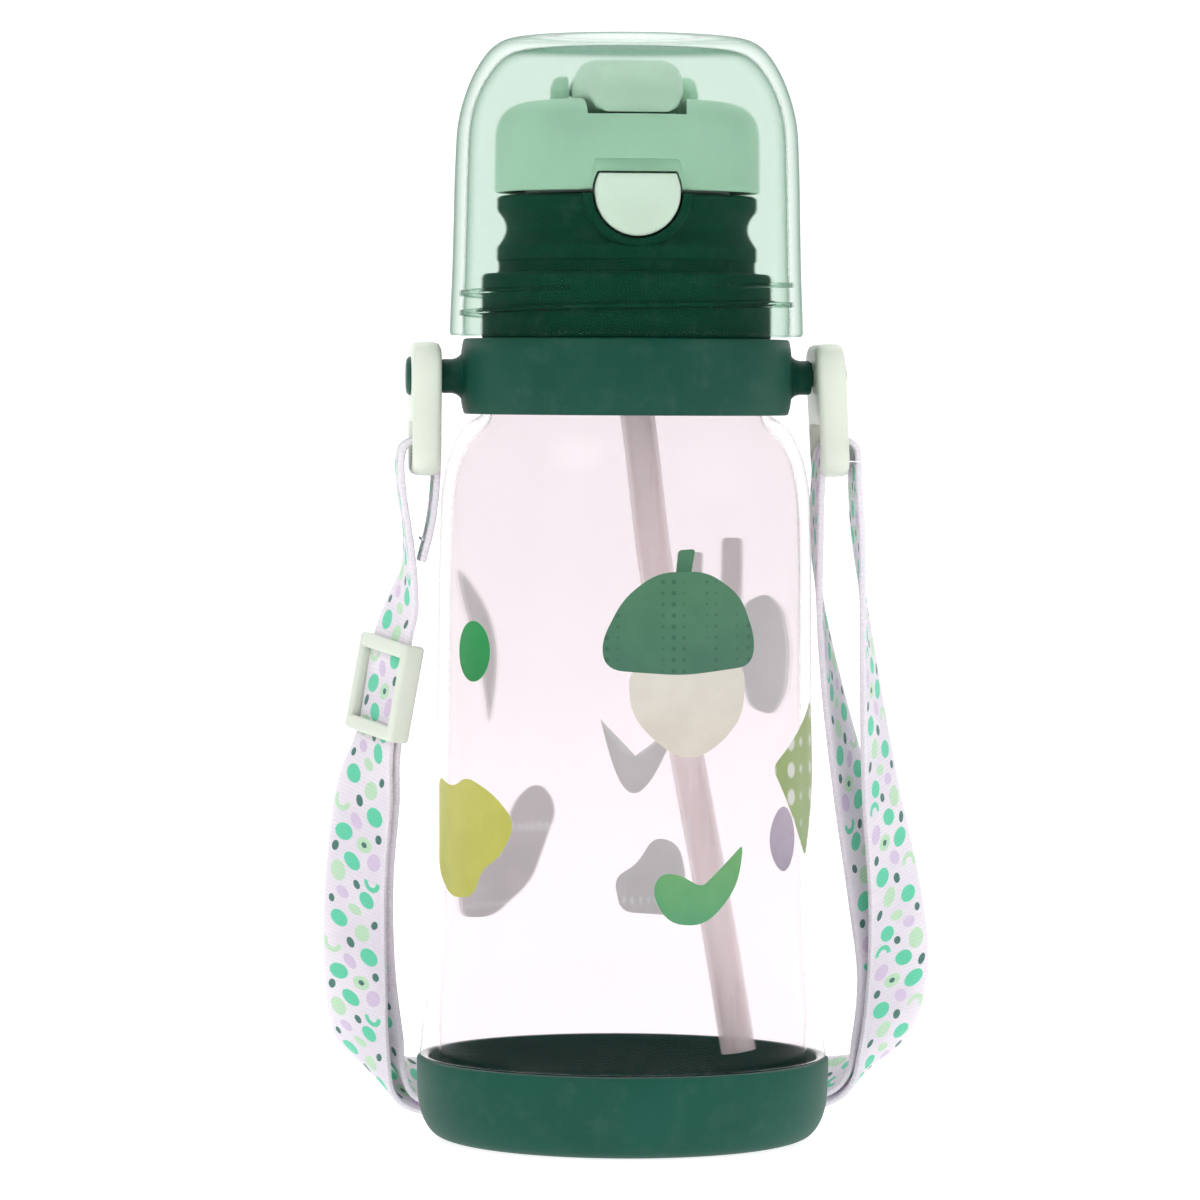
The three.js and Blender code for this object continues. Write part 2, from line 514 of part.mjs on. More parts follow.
// ---- Button -------------------------------------------------------------------------------------------
const BUTTON_FRONT = -WAIST_R - 0.9;
const BUTTON_DEPTH = 4.4;
const BUTTON_BACK = BUTTON_FRONT + BUTTON_DEPTH;
const COIL_SEAT_R = 2.7;
function releaseButton() {
  const made = dee(0, BUTTON_BACK, BUTTON_FRONT);
  return made.subtract(rodY(COIL_SEAT_R, 5, 0, BUTTON_FRONT + 1.6 + 2.5, BUTTON_Z - 3));
}
piece("release_button", releaseButton(), CREAM, 0.4, lidGroup);
const SPRING_FRONT = BUTTON_FRONT + 1.6 + BUTTON_TRAVEL + SPRING_WIRE + FIT;
const SPRING_BACK = BUTTON_BACK_Y - SPRING_WIRE - FIT;
piece("button_spring",
  solid(coil(1.9, 3, (SPRING_BACK - SPRING_FRONT) / 3, 36).rotateZ(Math.PI / 2)),
  0xc4c8cc, 0.3, lidGroup, STEEL, [0, (SPRING_FRONT + SPRING_BACK) / 2, BUTTON_Z - 3]);

// ---- Dust cover ---------------------------------------------------------------------------------------
function dustCover() {
  const top = COVER_TOP;
  const side = (r, w) => [
    [r, COVER_Z], [r - 0.1, COVER_Z + 4.4], [r - 0.4, COVER_Z + 11.4], [r - 0.6, COVER_Z + 19.4],
    [r - 0.8, COVER_Z + 30.4], [r - 1.2, COVER_Z + 40], [r - 2 + 0.1 * w, COVER_Z + 44 - 0.3 * w],
    [r - 3.2 + 0.2 * w, COVER_Z + 47.8 - 0.5 * w], [r - 4.8 + 0.3 * w, COVER_Z + 51.4 - 0.7 * w],
    [r - 7.2 + 0.3 * w, COVER_Z + 55 - 0.9 * w], [r - 9.8 + 0.3 * w, top - 1 - w], [r - 13, top - 0.3 - w],
    [0, top - w],
  ];
  const outside = turned([[0, COVER_Z], ...side(COVER_R, 0)]);
  const inside = turned([[0, COVER_Z - 1], [COVER_R - COVER_WALL, COVER_Z - 1],
    ...side(COVER_R - COVER_WALL, COVER_WALL)]);
  const shell = outside.subtract(inside);
  return shell.add(helix(COVER_R - COVER_WALL, -1.3, COVER_Z + 3.6, THREAD_TURNS));
}
piece("dust_cover", dustCover(), 0xa6d6b8, 0.05, lidGroup, { transparent: true, opacity: 0.4 });

// ---- Strap loops --------------------------------------------------------------------------------------
const LOOP_X = LUG_END + FIT + LOOP_T / 2;
const BAR_T = 3.2; // the bar is thinner than the loop, so that the webbing clears the bottle
const SLOT_H = 6;
const SLOT_W = WEB_W + 1.4;
const BAR_TOP = LUG_Z - LOOP_DROP + LOOP_BAR;

function roundedBox(w, bottom, top, r) {
  const shape = new THREE.Shape();
  shape.moveTo(-w / 2 + r, bottom);
  shape.lineTo(w / 2 - r, bottom);
  shape.quadraticCurveTo(w / 2, bottom, w / 2, bottom + r);
  shape.lineTo(w / 2, top - r);
  shape.quadraticCurveTo(w / 2, top, w / 2 - r, top);
  shape.lineTo(-w / 2 + r, top);
  shape.quadraticCurveTo(-w / 2, top, -w / 2, top - r);
  shape.lineTo(-w / 2, bottom + r);
  shape.quadraticCurveTo(-w / 2, bottom, -w / 2 + r, bottom);
  return shape;
}

function strapLoop(side) {
  const shape = roundedBox(LOOP_W, -LOOP_DROP, LOOP_RISE, 4.5);
  const edge = 1;
  const g = new THREE.ExtrudeGeometry(shape, {
    depth: LOOP_T - 2 * edge, bevelThickness: edge, bevelSize: edge, bevelOffset: -edge, bevelSegments: 2,
    curveSegments: 5,
  });
  g.translate(0, 0, edge - LOOP_T / 2).applyMatrix4(alongX).translate(side * LOOP_X, 0, LUG_Z);
  let made = solid(g);
  made = made.subtract(block(20, SLOT_W, SLOT_H, side * LOOP_X, 0, BAR_TOP + SLOT_H / 2));
  const thinned = LOOP_T - BAR_T;
  const inner = side * (LOOP_X - LOOP_T / 2 + thinned / 2 - 1);
  made = made.subtract(block(thinned + 2, SLOT_W, LOOP_BAR + 4, inner, 0, BAR_TOP - LOOP_BAR / 2 - 2 + 0.01));
  return made;
}

// A loop leans about the middle of its bore, which stays square to the lug.
function leaned(made, side, degrees) {
  if (!degrees) return made;
  const g = geometryOf(made);
  g.translate(-side * LOOP_X, 0, -LUG_Z).rotateY(-side * THREE.MathUtils.degToRad(degrees));
  return solid(g.translate(side * LOOP_X, 0, LUG_Z));
}

const HEAD_T = 1.3;
function rivet(side) {
  const face = LOOP_X + LOOP_T / 2; // outer face of the loop
  const tail = LUG_END - 4.5;
  return turned([
    [0, tail], [SHANK_R - 0.25, tail], [SHANK_R - 0.25, face - 0.6], [RIVET_R, face - 0.6],
    [RIVET_R, face + 0.1], [RIVET_R - 1, face + HEAD_T - 0.5], [0, face + HEAD_T - 0.4],
  ], 20);
}
function loopBore(side) {
  const face = LOOP_X + LOOP_T / 2;
  const shank = rodX(SHANK_R + RUN - 0.25, 30, side * LOOP_X, 0, LUG_Z, 20);
  return shank.add(rodX(RIVET_R + FIT, 6, side * (face - 0.9 + 3), 0, LUG_Z, 24));
}
for (const [name, side, lean] of [["left", -1, 0], ["right", 1, LOOP_LEAN]]) {
  const loop = leaned(strapLoop(side), side, lean);
  piece("strap_loop_" + name, loop.subtract(loopBore(side)), SAGE, 0.45, strapGroup);
  const g = geometryOf(rivet(side)).rotateY(side * Math.PI / 2).translate(0, 0, LUG_Z);
  piece("loop_rivet_" + name, solid(g), DARK_GREEN, 0.4, lidGroup);
}

// ---- Strap --------------------------------------------------------------------------------------------
// Webbing along a hand-laid route: each point is x, y, z and then the direction of the webbing's width there.
class Webbing extends THREE.Curve {
  constructor(route) {
    super();
    this.places = route.map((p) => new THREE.Vector3(...p.slice(0, 3)));
    this.widths = route.map((p) => new THREE.Vector3(...p.slice(3, 6)));
  }
  getSpacedPoints() {
    return this.places;
  }
  computeFrenetFrames(steps) {
    const frames = { tangents: [], normals: [], binormals: [] };
    for (let i = 0; i <= steps; i++) {
      const before = this.places[Math.max(i - 1, 0)];
      const after = this.places[Math.min(i + 1, steps)];
      const tangent = new THREE.Vector3().subVectors(after, before).normalize();
      const width = this.widths[i].clone();
      width.addScaledVector(tangent, -width.dot(tangent)).normalize();
      frames.tangents.push(tangent);
      frames.normals.push(width);
      frames.binormals.push(new THREE.Vector3().crossVectors(tangent, width));
    }
    return frames;
  }
}
const WEB_SECTION = [[-1, -0.5], [-0.96, -1], [0.96, -1], [1, -0.5], [1, 0.5], [0.96, 1], [-0.96, 1], [-1, 0.5]];
function webbing(route) {
  const section = new THREE.Shape(v2(WEB_SECTION.map(([a, b]) => [a * WEB_W / 2, b * WEB_T / 2])));
  const steps = route.length - 1;
  return solid(new THREE.ExtrudeGeometry(section, { steps, extrudePath: new Webbing(route) }));
}

const EDGE_ON = [0, -1, 0];
const IN_ADJUSTER = [0.42, -0.91, 0];
const ADJUSTER_TOP = [-44.8, 1.9, 97.3];
const ADJUSTER_LOW = [-48.2, 2.6, 77.5];
// From the eye sewn round the left loop's bar, through the adjuster and behind the boot to the right loop.
const OUTER_RUN = [
  [-39.6, 0, 112, ...EDGE_ON], [-37.9, 0, 119, ...EDGE_ON], [-37, 0, 126.5, ...EDGE_ON],
  [-37, 0, 132.6, ...EDGE_ON], [-38, 0, 134.6, ...EDGE_ON], [-40.2, 0, 135.3, ...EDGE_ON],
  [-42.7, 0, 134.6, ...EDGE_ON], [-43.7, 0, 132.4, ...EDGE_ON], [-43.5, 0, 126, ...EDGE_ON],
  [-42.3, 0, 118, ...EDGE_ON], [-41.9, 0.4, 110, 0.1, -1, 0], [-43, 1.2, 103.5, 0.34, -0.94, 0],
  [...ADJUSTER_TOP, ...IN_ADJUSTER], [...ADJUSTER_LOW, ...IN_ADJUSTER], [-50, 5.2, 67, 0.66, -0.75, 0],
  [-51.4, 11.5, 50, 0.72, -0.69, 0], [-51.2, 21, 30, 0.76, -0.65, 0], [-49.6, 29, 15.4, 0.66, -0.73, -0.16],
  [-46.2, 34.4, 8.2, 0.36, -0.86, -0.34], [-40.4, 38.2, 5, 0.1, -0.88, -0.45],
  [-31, 43.8, 4.7, 0.1, -0.88, -0.46], [-16, 48.8, 4.7, 0, -0.89, -0.45], [0, 50.4, 4.7, 0, -0.89, -0.45],
  [16, 48.4, 4.7, 0, -0.89, -0.45], [31, 42.6, 4.7, -0.06, -0.88, -0.46], [42, 37.4, 5, -0.12, -0.88, -0.45],
  [50, 33.6, 8, -0.42, -0.84, -0.34], [54.6, 29.4, 15, -0.72, -0.68, -0.14], [56.6, 22.8, 28, -0.84, -0.54, 0],
  [54.8, 14.4, 46, -0.72, -0.69, 0], [51.2, 8, 66, -0.55, -0.83, 0], [48.6, 4.2, 86, -0.34, -0.94, 0],
  [46.7, 1.8, 104, -0.14, -0.99, 0], [45.4, 0.4, 118, ...EDGE_ON], [44.8, 0, 127, ...EDGE_ON],
  [44.6, 0, 131.4, ...EDGE_ON],
];
// From the outer run's end, round the right loop's bar and back along it to the adjuster's middle bar.
const RETURN_RUN = [
  [44.6, 0, 131.75, ...EDGE_ON], [44.2, 0, 134.4, ...EDGE_ON], [42, 0, 135.8, ...EDGE_ON],
  [39.4, 0, 135.4, ...EDGE_ON], [38.1, 0, 133.4, ...EDGE_ON], [37.5, 0, 127, ...EDGE_ON],
  [37.3, 0.4, 117.3, ...EDGE_ON], [38.4, 3, 103.3, -0.14, -0.99, 0], [41.5, 6.8, 85.6, -0.34, -0.94, 0],
  [46, 11.4, 66.1, -0.55, -0.83, 0], [51, 17.5, 46.8, -0.72, -0.69, 0], [55, 24.9, 29, -0.84, -0.54, 0],
  [53.2, 30.8, 16.2, -0.72, -0.68, -0.14], [48.7, 33.7, 9.7, -0.42, -0.84, -0.34],
  [41.3, 36.6, 6.8, -0.12, -0.88, -0.45], [30.6, 41.8, 6.5, -0.06, -0.88, -0.46],
  [15.8, 47.6, 6.5, 0, -0.89, -0.45], [0, 49.6, 6.5, 0, -0.89, -0.45], [-15.8, 48, 6.5, 0, -0.89, -0.45],
  [-30.6, 43, 6.5, 0.1, -0.88, -0.46], [-39.3, 37.2, 7.2, 0.1, -0.88, -0.45],
  [-43.4, 34.6, 11, 0.36, -0.86, -0.34], [-46.6, 31.5, 17.4, 0.66, -0.73, -0.16],
  [-49.5, 23, 31, 0.76, -0.65, 0], [-50.1, 12.9, 50.4, 0.72, -0.69, 0], [-48.6, 6.5, 67.2, 0.66, -0.75, 0],
  [-46.7, 3.6, 77.2, ...IN_ADJUSTER], [-45.4, 3.3, 84.6, ...IN_ADJUSTER],
];
const LILAC = 0xeee6f0;
piece("strap_outer_run", webbing(OUTER_RUN), LILAC, 0.85, strapGroup);
piece("strap_return_run", webbing(RETURN_RUN), LILAC, 0.85, strapGroup);

// ---- Adjuster -----------------------------------------------------------------------------------------
// A frame with a front bar above and below the webbing and a middle bar behind it.
const RAIL = 2;
const FRAME_H = 19;
const FRAME_BAR = 2.8;
const MIDDLE_BAR = 4.4;
function adjuster() {
  const inside = WEB_W + 0.9;
  const gap = WEB_T + 2 * FIT;
  const depth = gap + 2.6;
  const shape = roundedBox(inside + 2 * RAIL, -FRAME_H / 2, FRAME_H / 2, 3);
  let made = solid(new THREE.ExtrudeGeometry(shape, { depth, bevelEnabled: false, curveSegments: 5 })
    .translate(0, 0, -depth / 2));
  made = made.subtract(block(inside, FRAME_H + 2, gap, 0, 0, 0));
  const window = FRAME_H - 2 * FRAME_BAR;
  made = made.subtract(block(inside, window, depth, 0, 0, depth / 2));
  const rear = (FRAME_H - MIDDLE_BAR) / 2 + 1;
  for (const side of [-1, 1]) {
    made = made.subtract(block(inside, rear, depth, 0, side * (MIDDLE_BAR + rear) / 2, -depth / 2));
  }
  const top = new THREE.Vector3(...ADJUSTER_TOP);
  const low = new THREE.Vector3(...ADJUSTER_LOW);
  const up = new THREE.Vector3().subVectors(top, low).normalize();
  const across = new THREE.Vector3(...IN_ADJUSTER);
  across.addScaledVector(up, -across.dot(up)).normalize();
  const front = new THREE.Vector3().crossVectors(across, up);
  const frame = new THREE.Matrix4().makeBasis(across, up, front).setPosition(top.add(low).multiplyScalar(0.5));
  return solid(geometryOf(made).applyMatrix4(frame));
}
piece("strap_adjuster", adjuster(), SAGE, 0.45, strapGroup);

export default root;
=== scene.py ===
"""Looks for a children's water bottle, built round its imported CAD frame."""

import math

import bmesh
import bpy
from mathutils import Matrix, Vector


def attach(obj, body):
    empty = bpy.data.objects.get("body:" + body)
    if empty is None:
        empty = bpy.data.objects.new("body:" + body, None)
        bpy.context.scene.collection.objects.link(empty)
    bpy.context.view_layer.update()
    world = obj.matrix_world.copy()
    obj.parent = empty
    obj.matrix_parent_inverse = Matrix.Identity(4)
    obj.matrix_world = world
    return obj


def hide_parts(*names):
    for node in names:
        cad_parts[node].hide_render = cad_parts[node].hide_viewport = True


bl_info = {
    "name": "Kids water bottle",
    "version": (1, 0, 0),
    "blender": (4, 5, 0),
    "location": "View3D > Sidebar > Bottle",
    "description": "Adds the finished pieces of a children's straw bottle to its CAD frame",
    "category": "Object",
}

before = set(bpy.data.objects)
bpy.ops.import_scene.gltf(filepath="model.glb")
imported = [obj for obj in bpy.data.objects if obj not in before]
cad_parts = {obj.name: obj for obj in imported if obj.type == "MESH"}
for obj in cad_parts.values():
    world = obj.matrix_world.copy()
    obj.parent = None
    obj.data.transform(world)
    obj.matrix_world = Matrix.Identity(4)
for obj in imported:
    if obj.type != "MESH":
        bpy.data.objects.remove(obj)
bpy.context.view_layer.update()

MM = 0.001
TAU = 2 * math.pi
AROUND = 144  # faces round a turned piece

# Heights and radii shared by several pieces, in millimetres.
BOOT_H = 16.0
BODY_R = 36.3
NECK_Z = 140.4
NECK_R = 26.2
NECK_OUT = 27.8
NECK_TOP = 152.0
COLLAR_TOP = 155.1
COLLAR_R = 32.2
RING_Z = 155.4
RING_R = 28.0
RING_TOP = 167.6
WAIST_R = 25.1
WAIST_TOP = 182.6
GROOVE_R = 23.2
CAP_Z = 183.2
CAP_R = 25.6
CAP_TOP = 201.2
POCKET_Z = 197.6
COVER_Z = 155.6
COVER_TOP = 213.6
LUG_Z = 147.75
HINGE_Y = 26.0
HINGE_Z = 184.8
FLAP_PIN = (8.5, 203.2)
BUTTON_R = 8.15
LOOP_X = 39.0
WEB_W = 15.0
WEB_T = 1.3


# ---- Shapes --------------------------------------------------------------------------------------------
def softened(points, steps=6, closed=False):
    """Rounds the corners of an outline: each point is (a, b) or (a, b, reach of its rounding)."""
    made = []
    count = len(points)
    for i, point in enumerate(points):
        here = Vector(point[:2])
        reach = point[2] if len(point) > 2 else 0.0
        ends = not closed and i in (0, count - 1)
        if not reach or ends:
            made.append(here)
            continue
        before = Vector(points[i - 1][:2]) - here
        after = Vector(points[(i + 1) % count][:2]) - here
        a = here + before.normalized() * min(reach, before.length * 0.5)
        b = here + after.normalized() * min(reach, after.length * 0.5)
        for k in range(steps + 1):
            t = k / steps
            made.append(a * (1 - t) ** 2 + here * 2 * t * (1 - t) + b * t**2)
    return made


def turned(bm, profile, around=AROUND, closed=False, steps=6):
    """Spins an outline of (radius, height) about the bottle's axis."""
    points = softened(profile, steps, closed)
    verts = [bm.verts.new((p.x, 0, p.y)) for p in points]
    pairs = list(zip(verts, verts[1:]))
    if closed:
        pairs.append((verts[-1], verts[0]))
    edges = [bm.edges.new(pair) for pair in pairs]
    bmesh.ops.spin(bm, geom=verts + edges, cent=(0, 0, 0), axis=(0, 0, 1), angle=TAU, steps=around,
        use_merge=True)
    bmesh.ops.remove_doubles(bm, verts=bm.verts, dist=1e-4)
    return bm


def lofted(bm, rings, closed=False, caps=True):
    """Joins rings of points that all have the same number of points."""
    loops = [[bm.verts.new(p) for p in ring] for ring in rings]
    spans = list(zip(loops, loops[1:]))
    if closed:
        spans.append((loops[-1], loops[0]))
    for one, two in spans:
        for i in range(len(one)):
            j = (i + 1) % len(one)
            bm.faces.new((one[i], one[j], two[j], two[i]))
    if caps and not closed:
        bm.faces.new(reversed(loops[0]))
        bm.faces.new(loops[-1])
    return bm


def rod(bm, radius, start, end, around=32):
    """A round bar between two points."""
    start, end = Vector(start), Vector(end)
    place = Matrix.Translation((start + end) / 2) @ (end - start).to_track_quat("Z",
        "Y").to_matrix().to_4x4()
    bmesh.ops.create_cone(bm, cap_ends=True, segments=around, radius1=radius, radius2=radius,
                          depth=(end - start).length, matrix=place)
    return bm


def boxed(bm, size, centre, bevel=0.0, place=None):
    """A block with rounded edges."""
    place = place or Matrix.Identity(4)
    made = bmesh.ops.create_cube(bm, size=1, matrix=Matrix.Diagonal((*size, 1)))
    edges = list({e for v in made["verts"] for e in v.link_edges})
    verts = made["verts"]
    if bevel:
        done = bmesh.ops.bevel(bm, geom=edges, offset=bevel, segments=4, profile=0.5, affect="EDGES",
            material=-1)
        verts = list({v for f in done["faces"] for v in f.verts} | {v for v in verts if v.is_valid})
    bmesh.ops.transform(bm, matrix=place @ Matrix.Translation(centre), verts=verts)
    return bm


def rounded_rectangle(width, low, high, reach, steps=8):
    half = width / 2
    corners = [(-half, low, reach), (half, low, reach), (half, high, reach), (-half, high, reach)]
    return softened(corners, steps, closed=True)


def spline(points, per_span):
    """Centripetal curve through the points, with each extra value carried along."""
    rows = [Vector(p) for p in points]
    first = rows[0] * 2 - rows[1]
    last = rows[-1] * 2 - rows[-2]
    rows = [first, *rows, last]
    made = []
    for a, b, c, d in zip(rows, rows[1:], rows[2:], rows[3:]):
        t = [0.0]
        for one, two in ((a, b), (b, c), (c, d)):
            gap = math.dist(one[:3], two[:3])
            t.append(t[-1] + max(gap, 1e-4) ** 0.5)
        for k in range(per_span):
            u = t[1] + (t[2] - t[1]) * k / per_span
            ab = a.lerp(b, (u - t[0]) / (t[1] - t[0]))
            bc = b.lerp(c, (u - t[1]) / (t[2] - t[1]))
            cd = c.lerp(d, (u - t[2]) / (t[3] - t[2]))
            low = ab.lerp(bc, (u - t[0]) / (t[2] - t[0]))
            high = bc.lerp(cd, (u - t[1]) / (t[3] - t[1]))
            made.append(low.lerp(high, (u - t[1]) / (t[2] - t[1])))
    made.append(rows[-2])
    return made


def ridge(bm, radius, rise, start, turns, pitch=3.8, half=0.7, per_turn=72, turn=0.0):
    """A helical thread on a wall of this radius; a negative rise points inward."""
    count = round(turns * per_turn)
    rings = []
    for i in range(count + 1):
        fade = min(1.0, i / 4, (count - i) / 4)
        a = turn + TAU * i / per_turn
        z = start + pitch * i / per_turn
        section = [(-0.15 * rise, -half), (rise * fade, -half * 0.35), (rise * fade, half * 0.35),
            (-0.15 * rise, half)]
        rings.append([((radius + x) * math.cos(a), (radius + x) * math.sin(a), z + y) for x, y in section])
    return lofted(bm, rings)


def joined(target, other, operation):
    """Cuts or joins two closed meshes."""
    objects = []
    for bm in (target, other):
        bmesh.ops.recalc_face_normals(bm, faces=bm.faces)
        mesh = bpy.data.meshes.new("scratch")
        bm.to_mesh(mesh)
        bm.free()
        objects.append(bpy.data.objects.new("scratch", mesh))
        bpy.context.collection.objects.link(objects[-1])
    modifier = objects[0].modifiers.new("cut", "BOOLEAN")
    modifier.object = objects[1]
    modifier.operation = operation
    modifier.solver = "EXACT"
    result = bmesh.new()
    result.from_object(objects[0], bpy.context.evaluated_depsgraph_get())
    for scratch in objects:
        mesh = scratch.data
        bpy.data.objects.remove(scratch)
        bpy.data.meshes.remove(mesh)
    bmesh.ops.remove_doubles(result, verts=result.verts, dist=1e-4)
    return result


def fresh(name):
    """Removes a piece that an earlier run of the same operator made."""
    old = bpy.data.objects.get(name)
    if old:
        bpy.data.objects.remove(old)


def piece(name, bm, material, body, replaces=(), bevel=0.0, sharp=40.0):
    """Turns a mesh in millimetres into a piece in metres that rides a body."""
    fresh(name)
    bmesh.ops.recalc_face_normals(bm, faces=bm.faces)
    bm.transform(Matrix.Scale(MM, 4))
    mesh = bpy.data.meshes.new(name)
    bm.to_mesh(mesh)
    bm.free()
    mesh.shade_smooth()
    mesh.set_sharp_from_angle(angle=math.radians(sharp))
    mesh.materials.append(material)
    if not mesh.polygons:
        raise RuntimeError(name + " came out empty")
    made = bpy.data.objects.new(name, mesh)
    bpy.context.collection.objects.link(made)
    if bevel:
        modifier = made.modifiers.new("edges", "BEVEL")
        modifier.width = bevel * MM
        modifier.segments = 3
        modifier.limit_method = "ANGLE"
        modifier.angle_limit = math.radians(sharp)
        modifier.harden_normals = True
    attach(made, body)
    if replaces:
        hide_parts(*replaces)
    return made


# ---- Shader maths --------------------------------------------------------------------------------------
class Value:
    """A shader socket that can be added, multiplied and compared as a number."""

    def __init__(self, graph, socket):
        self.graph = graph
        self.socket = socket

    def math(self, operation, *others, clamp=False):
        return self.graph.math(operation, self, *others, clamp=clamp)

    def __add__(self, other):
        return self.math("ADD", other)

    def __sub__(self, other):
        return self.math("SUBTRACT", other)

    def __mul__(self, other):
        return self.math("MULTIPLY", other)

    def __truediv__(self, other):
        return self.math("DIVIDE", other)

    def __rsub__(self, other):
        return self.graph.math("SUBTRACT", other, self)

    def __pow__(self, other):
        return self.math("POWER", other)

    __radd__ = __add__
    __rmul__ = __mul__

    def between(self, low, high):
        """0 below low, 1 above high and smooth between them."""
        return self.graph.node("MapRange", {"interpolation_type": "SMOOTHSTEP"}, Value=self,
                               From_Min=low, From_Max=high)

    def scaled(self, low, high):
        """Spreads 0 to 1 over low to high."""
        return self.graph.node("MapRange", Value=self, To_Min=low, To_Max=high)


class Graph:
    """The node tree of one material."""

    def __init__(self, name):
        old = bpy.data.materials.get(name)
        if old:
            bpy.data.materials.remove(old)
        self.material = bpy.data.materials.new(name)
        self.material.use_nodes = True
        self.tree = self.material.node_tree
        self.tree.nodes.clear()

    def node(self, kind, settings=None, output=0, **inputs):
        """Adds any shader node: settings first, then its sockets by name with _ for a space."""
        made = self.tree.nodes.new("ShaderNode" + kind)
        for key, value in (settings or {}).items():
            setattr(made, key, value)
        for key, value in inputs.items():
            name = key.replace("_", " ")
            socket = next(s for s in made.inputs if s.name == name and s.enabled)
            self.plug(socket, value)
        return Value(self, made.outputs[output])

    def plug(self, socket, value):
        if isinstance(value, Value):
            self.tree.links.new(value.socket, socket)
        elif isinstance(value, (tuple, list)) and socket.type == "RGBA" and len(value) == 3:
            socket.default_value = (*value, 1.0)
        else:
            socket.default_value = value

    def math(self, operation, *values, clamp=False):
        made = self.tree.nodes.new("ShaderNodeMath")
        made.operation = operation
        made.use_clamp = clamp
        for socket, value in zip(made.inputs, values):
            self.plug(socket, value)
        return Value(self, made.outputs[0])

    def mix(self, factor, one, two):
        """Mixes two colours."""
        made = self.tree.nodes.new("ShaderNodeMix")
        made.data_type = "RGBA"
        for index, value in ((0, factor), (6, one), (7, two)):
            self.plug(made.inputs[index], value)
        return Value(self, made.outputs[2])

    def place(self, kind="Object", scale=(1, 1, 1)):
        """Coordinates in metres, or the piece's own UV, scaled about the origin."""
        names = {"Object": 3, "UV": 2}
        source = self.node("TexCoord", output=names[kind])
        return self.node("Mapping", Vector=source, Scale=scale)

    def axes(self, vector):
        made = self.tree.nodes.new("ShaderNodeSeparateXYZ")
        self.plug(made.inputs[0], vector)
        return [Value(self, s) for s in made.outputs]

    def noise(self, vector, scale, detail=3.0, roughness=0.5):
        return self.node("TexNoise", Vector=vector, Scale=scale, Detail=detail, Roughness=roughness)

    def bump(self, height, strength, distance):
        return self.node("Bump", Height=height, Strength=strength, Distance=distance)

    def surface(self, shader):
        out = self.tree.nodes.new("ShaderNodeOutputMaterial")
        self.plug(out.inputs["Surface"], shader)
        return self.material

    def principled(self, **inputs):
        return self.node("BsdfPrincipled", **inputs)


def chosen(key):
    """One of the user's settings; a colour comes as a tuple."""
    value = getattr(bpy.context.scene.bottle, key)
    return value if isinstance(value, float) else tuple(value)


def srgb(*values):
    """An 8-bit colour as the linear numbers that a shader takes."""
    return tuple(v / 255 / 12.92 if v <= 10 else ((v / 255 + 0.055) / 1.055) ** 2.4 for v in values)


def moulded(name, colour, roughness=0.38, grain=0.35, rubber=False, subsurface=0.0, gloss=0.5):
    """Satin moulded plastic or rubber: fine spark-eroded grain, slow colour drift and dulled patches."""
    g = Graph(name)
    where = g.place()
    fine = g.noise(where, 2600.0, 4.0, 0.6)
    slow = g.noise(where, 42.0, 2.0)
    worn = g.noise(where, 210.0, 5.0, 0.65)
    base = g.mix(slow.between(0.3, 0.7), tuple(c * 0.93 for c in colour),
        tuple(min(1, c * 1.06) for c in colour))
    tint = g.mix(worn.between(0.45, 0.8) * 0.05, base, tuple(c * 0.5 + 0.3 for c in colour))
    dull = roughness + (worn - 0.5) * 0.16 + (fine - 0.5) * 0.10
    relief = g.bump(fine + worn * 0.35, grain, 0.00006)
    constants = {"IOR": 1.49, "Specular_IOR_Level": gloss}
    if rubber:
        constants = {"Sheen_Weight": 0.05, "Sheen_Roughness": 0.4, "IOR": 1.42, "Specular_IOR_Level": gloss}
    if subsurface:
        constants |= {"Subsurface_Weight": subsurface, "Subsurface_Radius": (0.002, 0.003, 0.002),
                      "Subsurface_Scale": 0.6}
    return g.surface(g.principled(Base_Color=tint, Roughness=dull, Normal=relief, **constants))


def clear(name, colour, edge, alpha, depth, coat=0.2, roughness=0.02, haze=0.03):
    """Clear tinted plastic: deeper in colour where it is seen edge on, with faint ripples and fine scuffs."""
    g = Graph(name)
    where = g.place()
    flow = g.noise(g.node("Mapping", Vector=where, Scale=(1, 1, 0.35)), 60.0, 2.0)
    scuff = g.noise(g.node("Mapping", Vector=where, Scale=(1, 1, 6)), 300.0, 6.0, 0.7)
    dull = roughness + scuff.between(0.55, 0.85) * haze
    relief = g.bump(flow, 0.08, 0.0004)
    facing = g.node("LayerWeight", output=1, Blend=0.35)
    side_on = facing.between(*depth)
    tint = g.mix(side_on, colour, edge)
    tint = g.mix(scuff.between(0.6, 0.9) * 0.3, tint, tuple(c * 0.97 for c in colour))
    glass = g.principled(Base_Color=tint, Roughness=dull, Normal=relief, Transmission_Weight=1.0, IOR=1.01,
                         Coat_Weight=coat, Coat_Roughness=0.05, Alpha=side_on.scaled(alpha, 0.96))
    return g.surface(glass)


def steel(name):
    """Drawn spring wire."""
    g = Graph(name)
    where = g.place()
    drawn = g.noise(g.node("Mapping", Vector=where, Scale=(0.2, 1, 1)), 3000.0, 3.0)
    tint = g.mix(drawn, srgb(176, 180, 184), srgb(206, 208, 210))
    return g.surface(g.principled(Base_Color=tint, Roughness=drawn.scaled(0.22, 0.4), Metallic=1.0,
                                  Normal=g.bump(drawn, 0.2, 0.00003)))


# ---- Strap ---------------------------------------------------------------------------------------------
EDGE_ON = (0, -1, 0)
IN_ADJUSTER = (0.42, -0.91, 0)
ADJUSTER_TOP = (-44.8, 1.9, 97.3)
ADJUSTER_LOW = (-48.2, 2.6, 77.5)
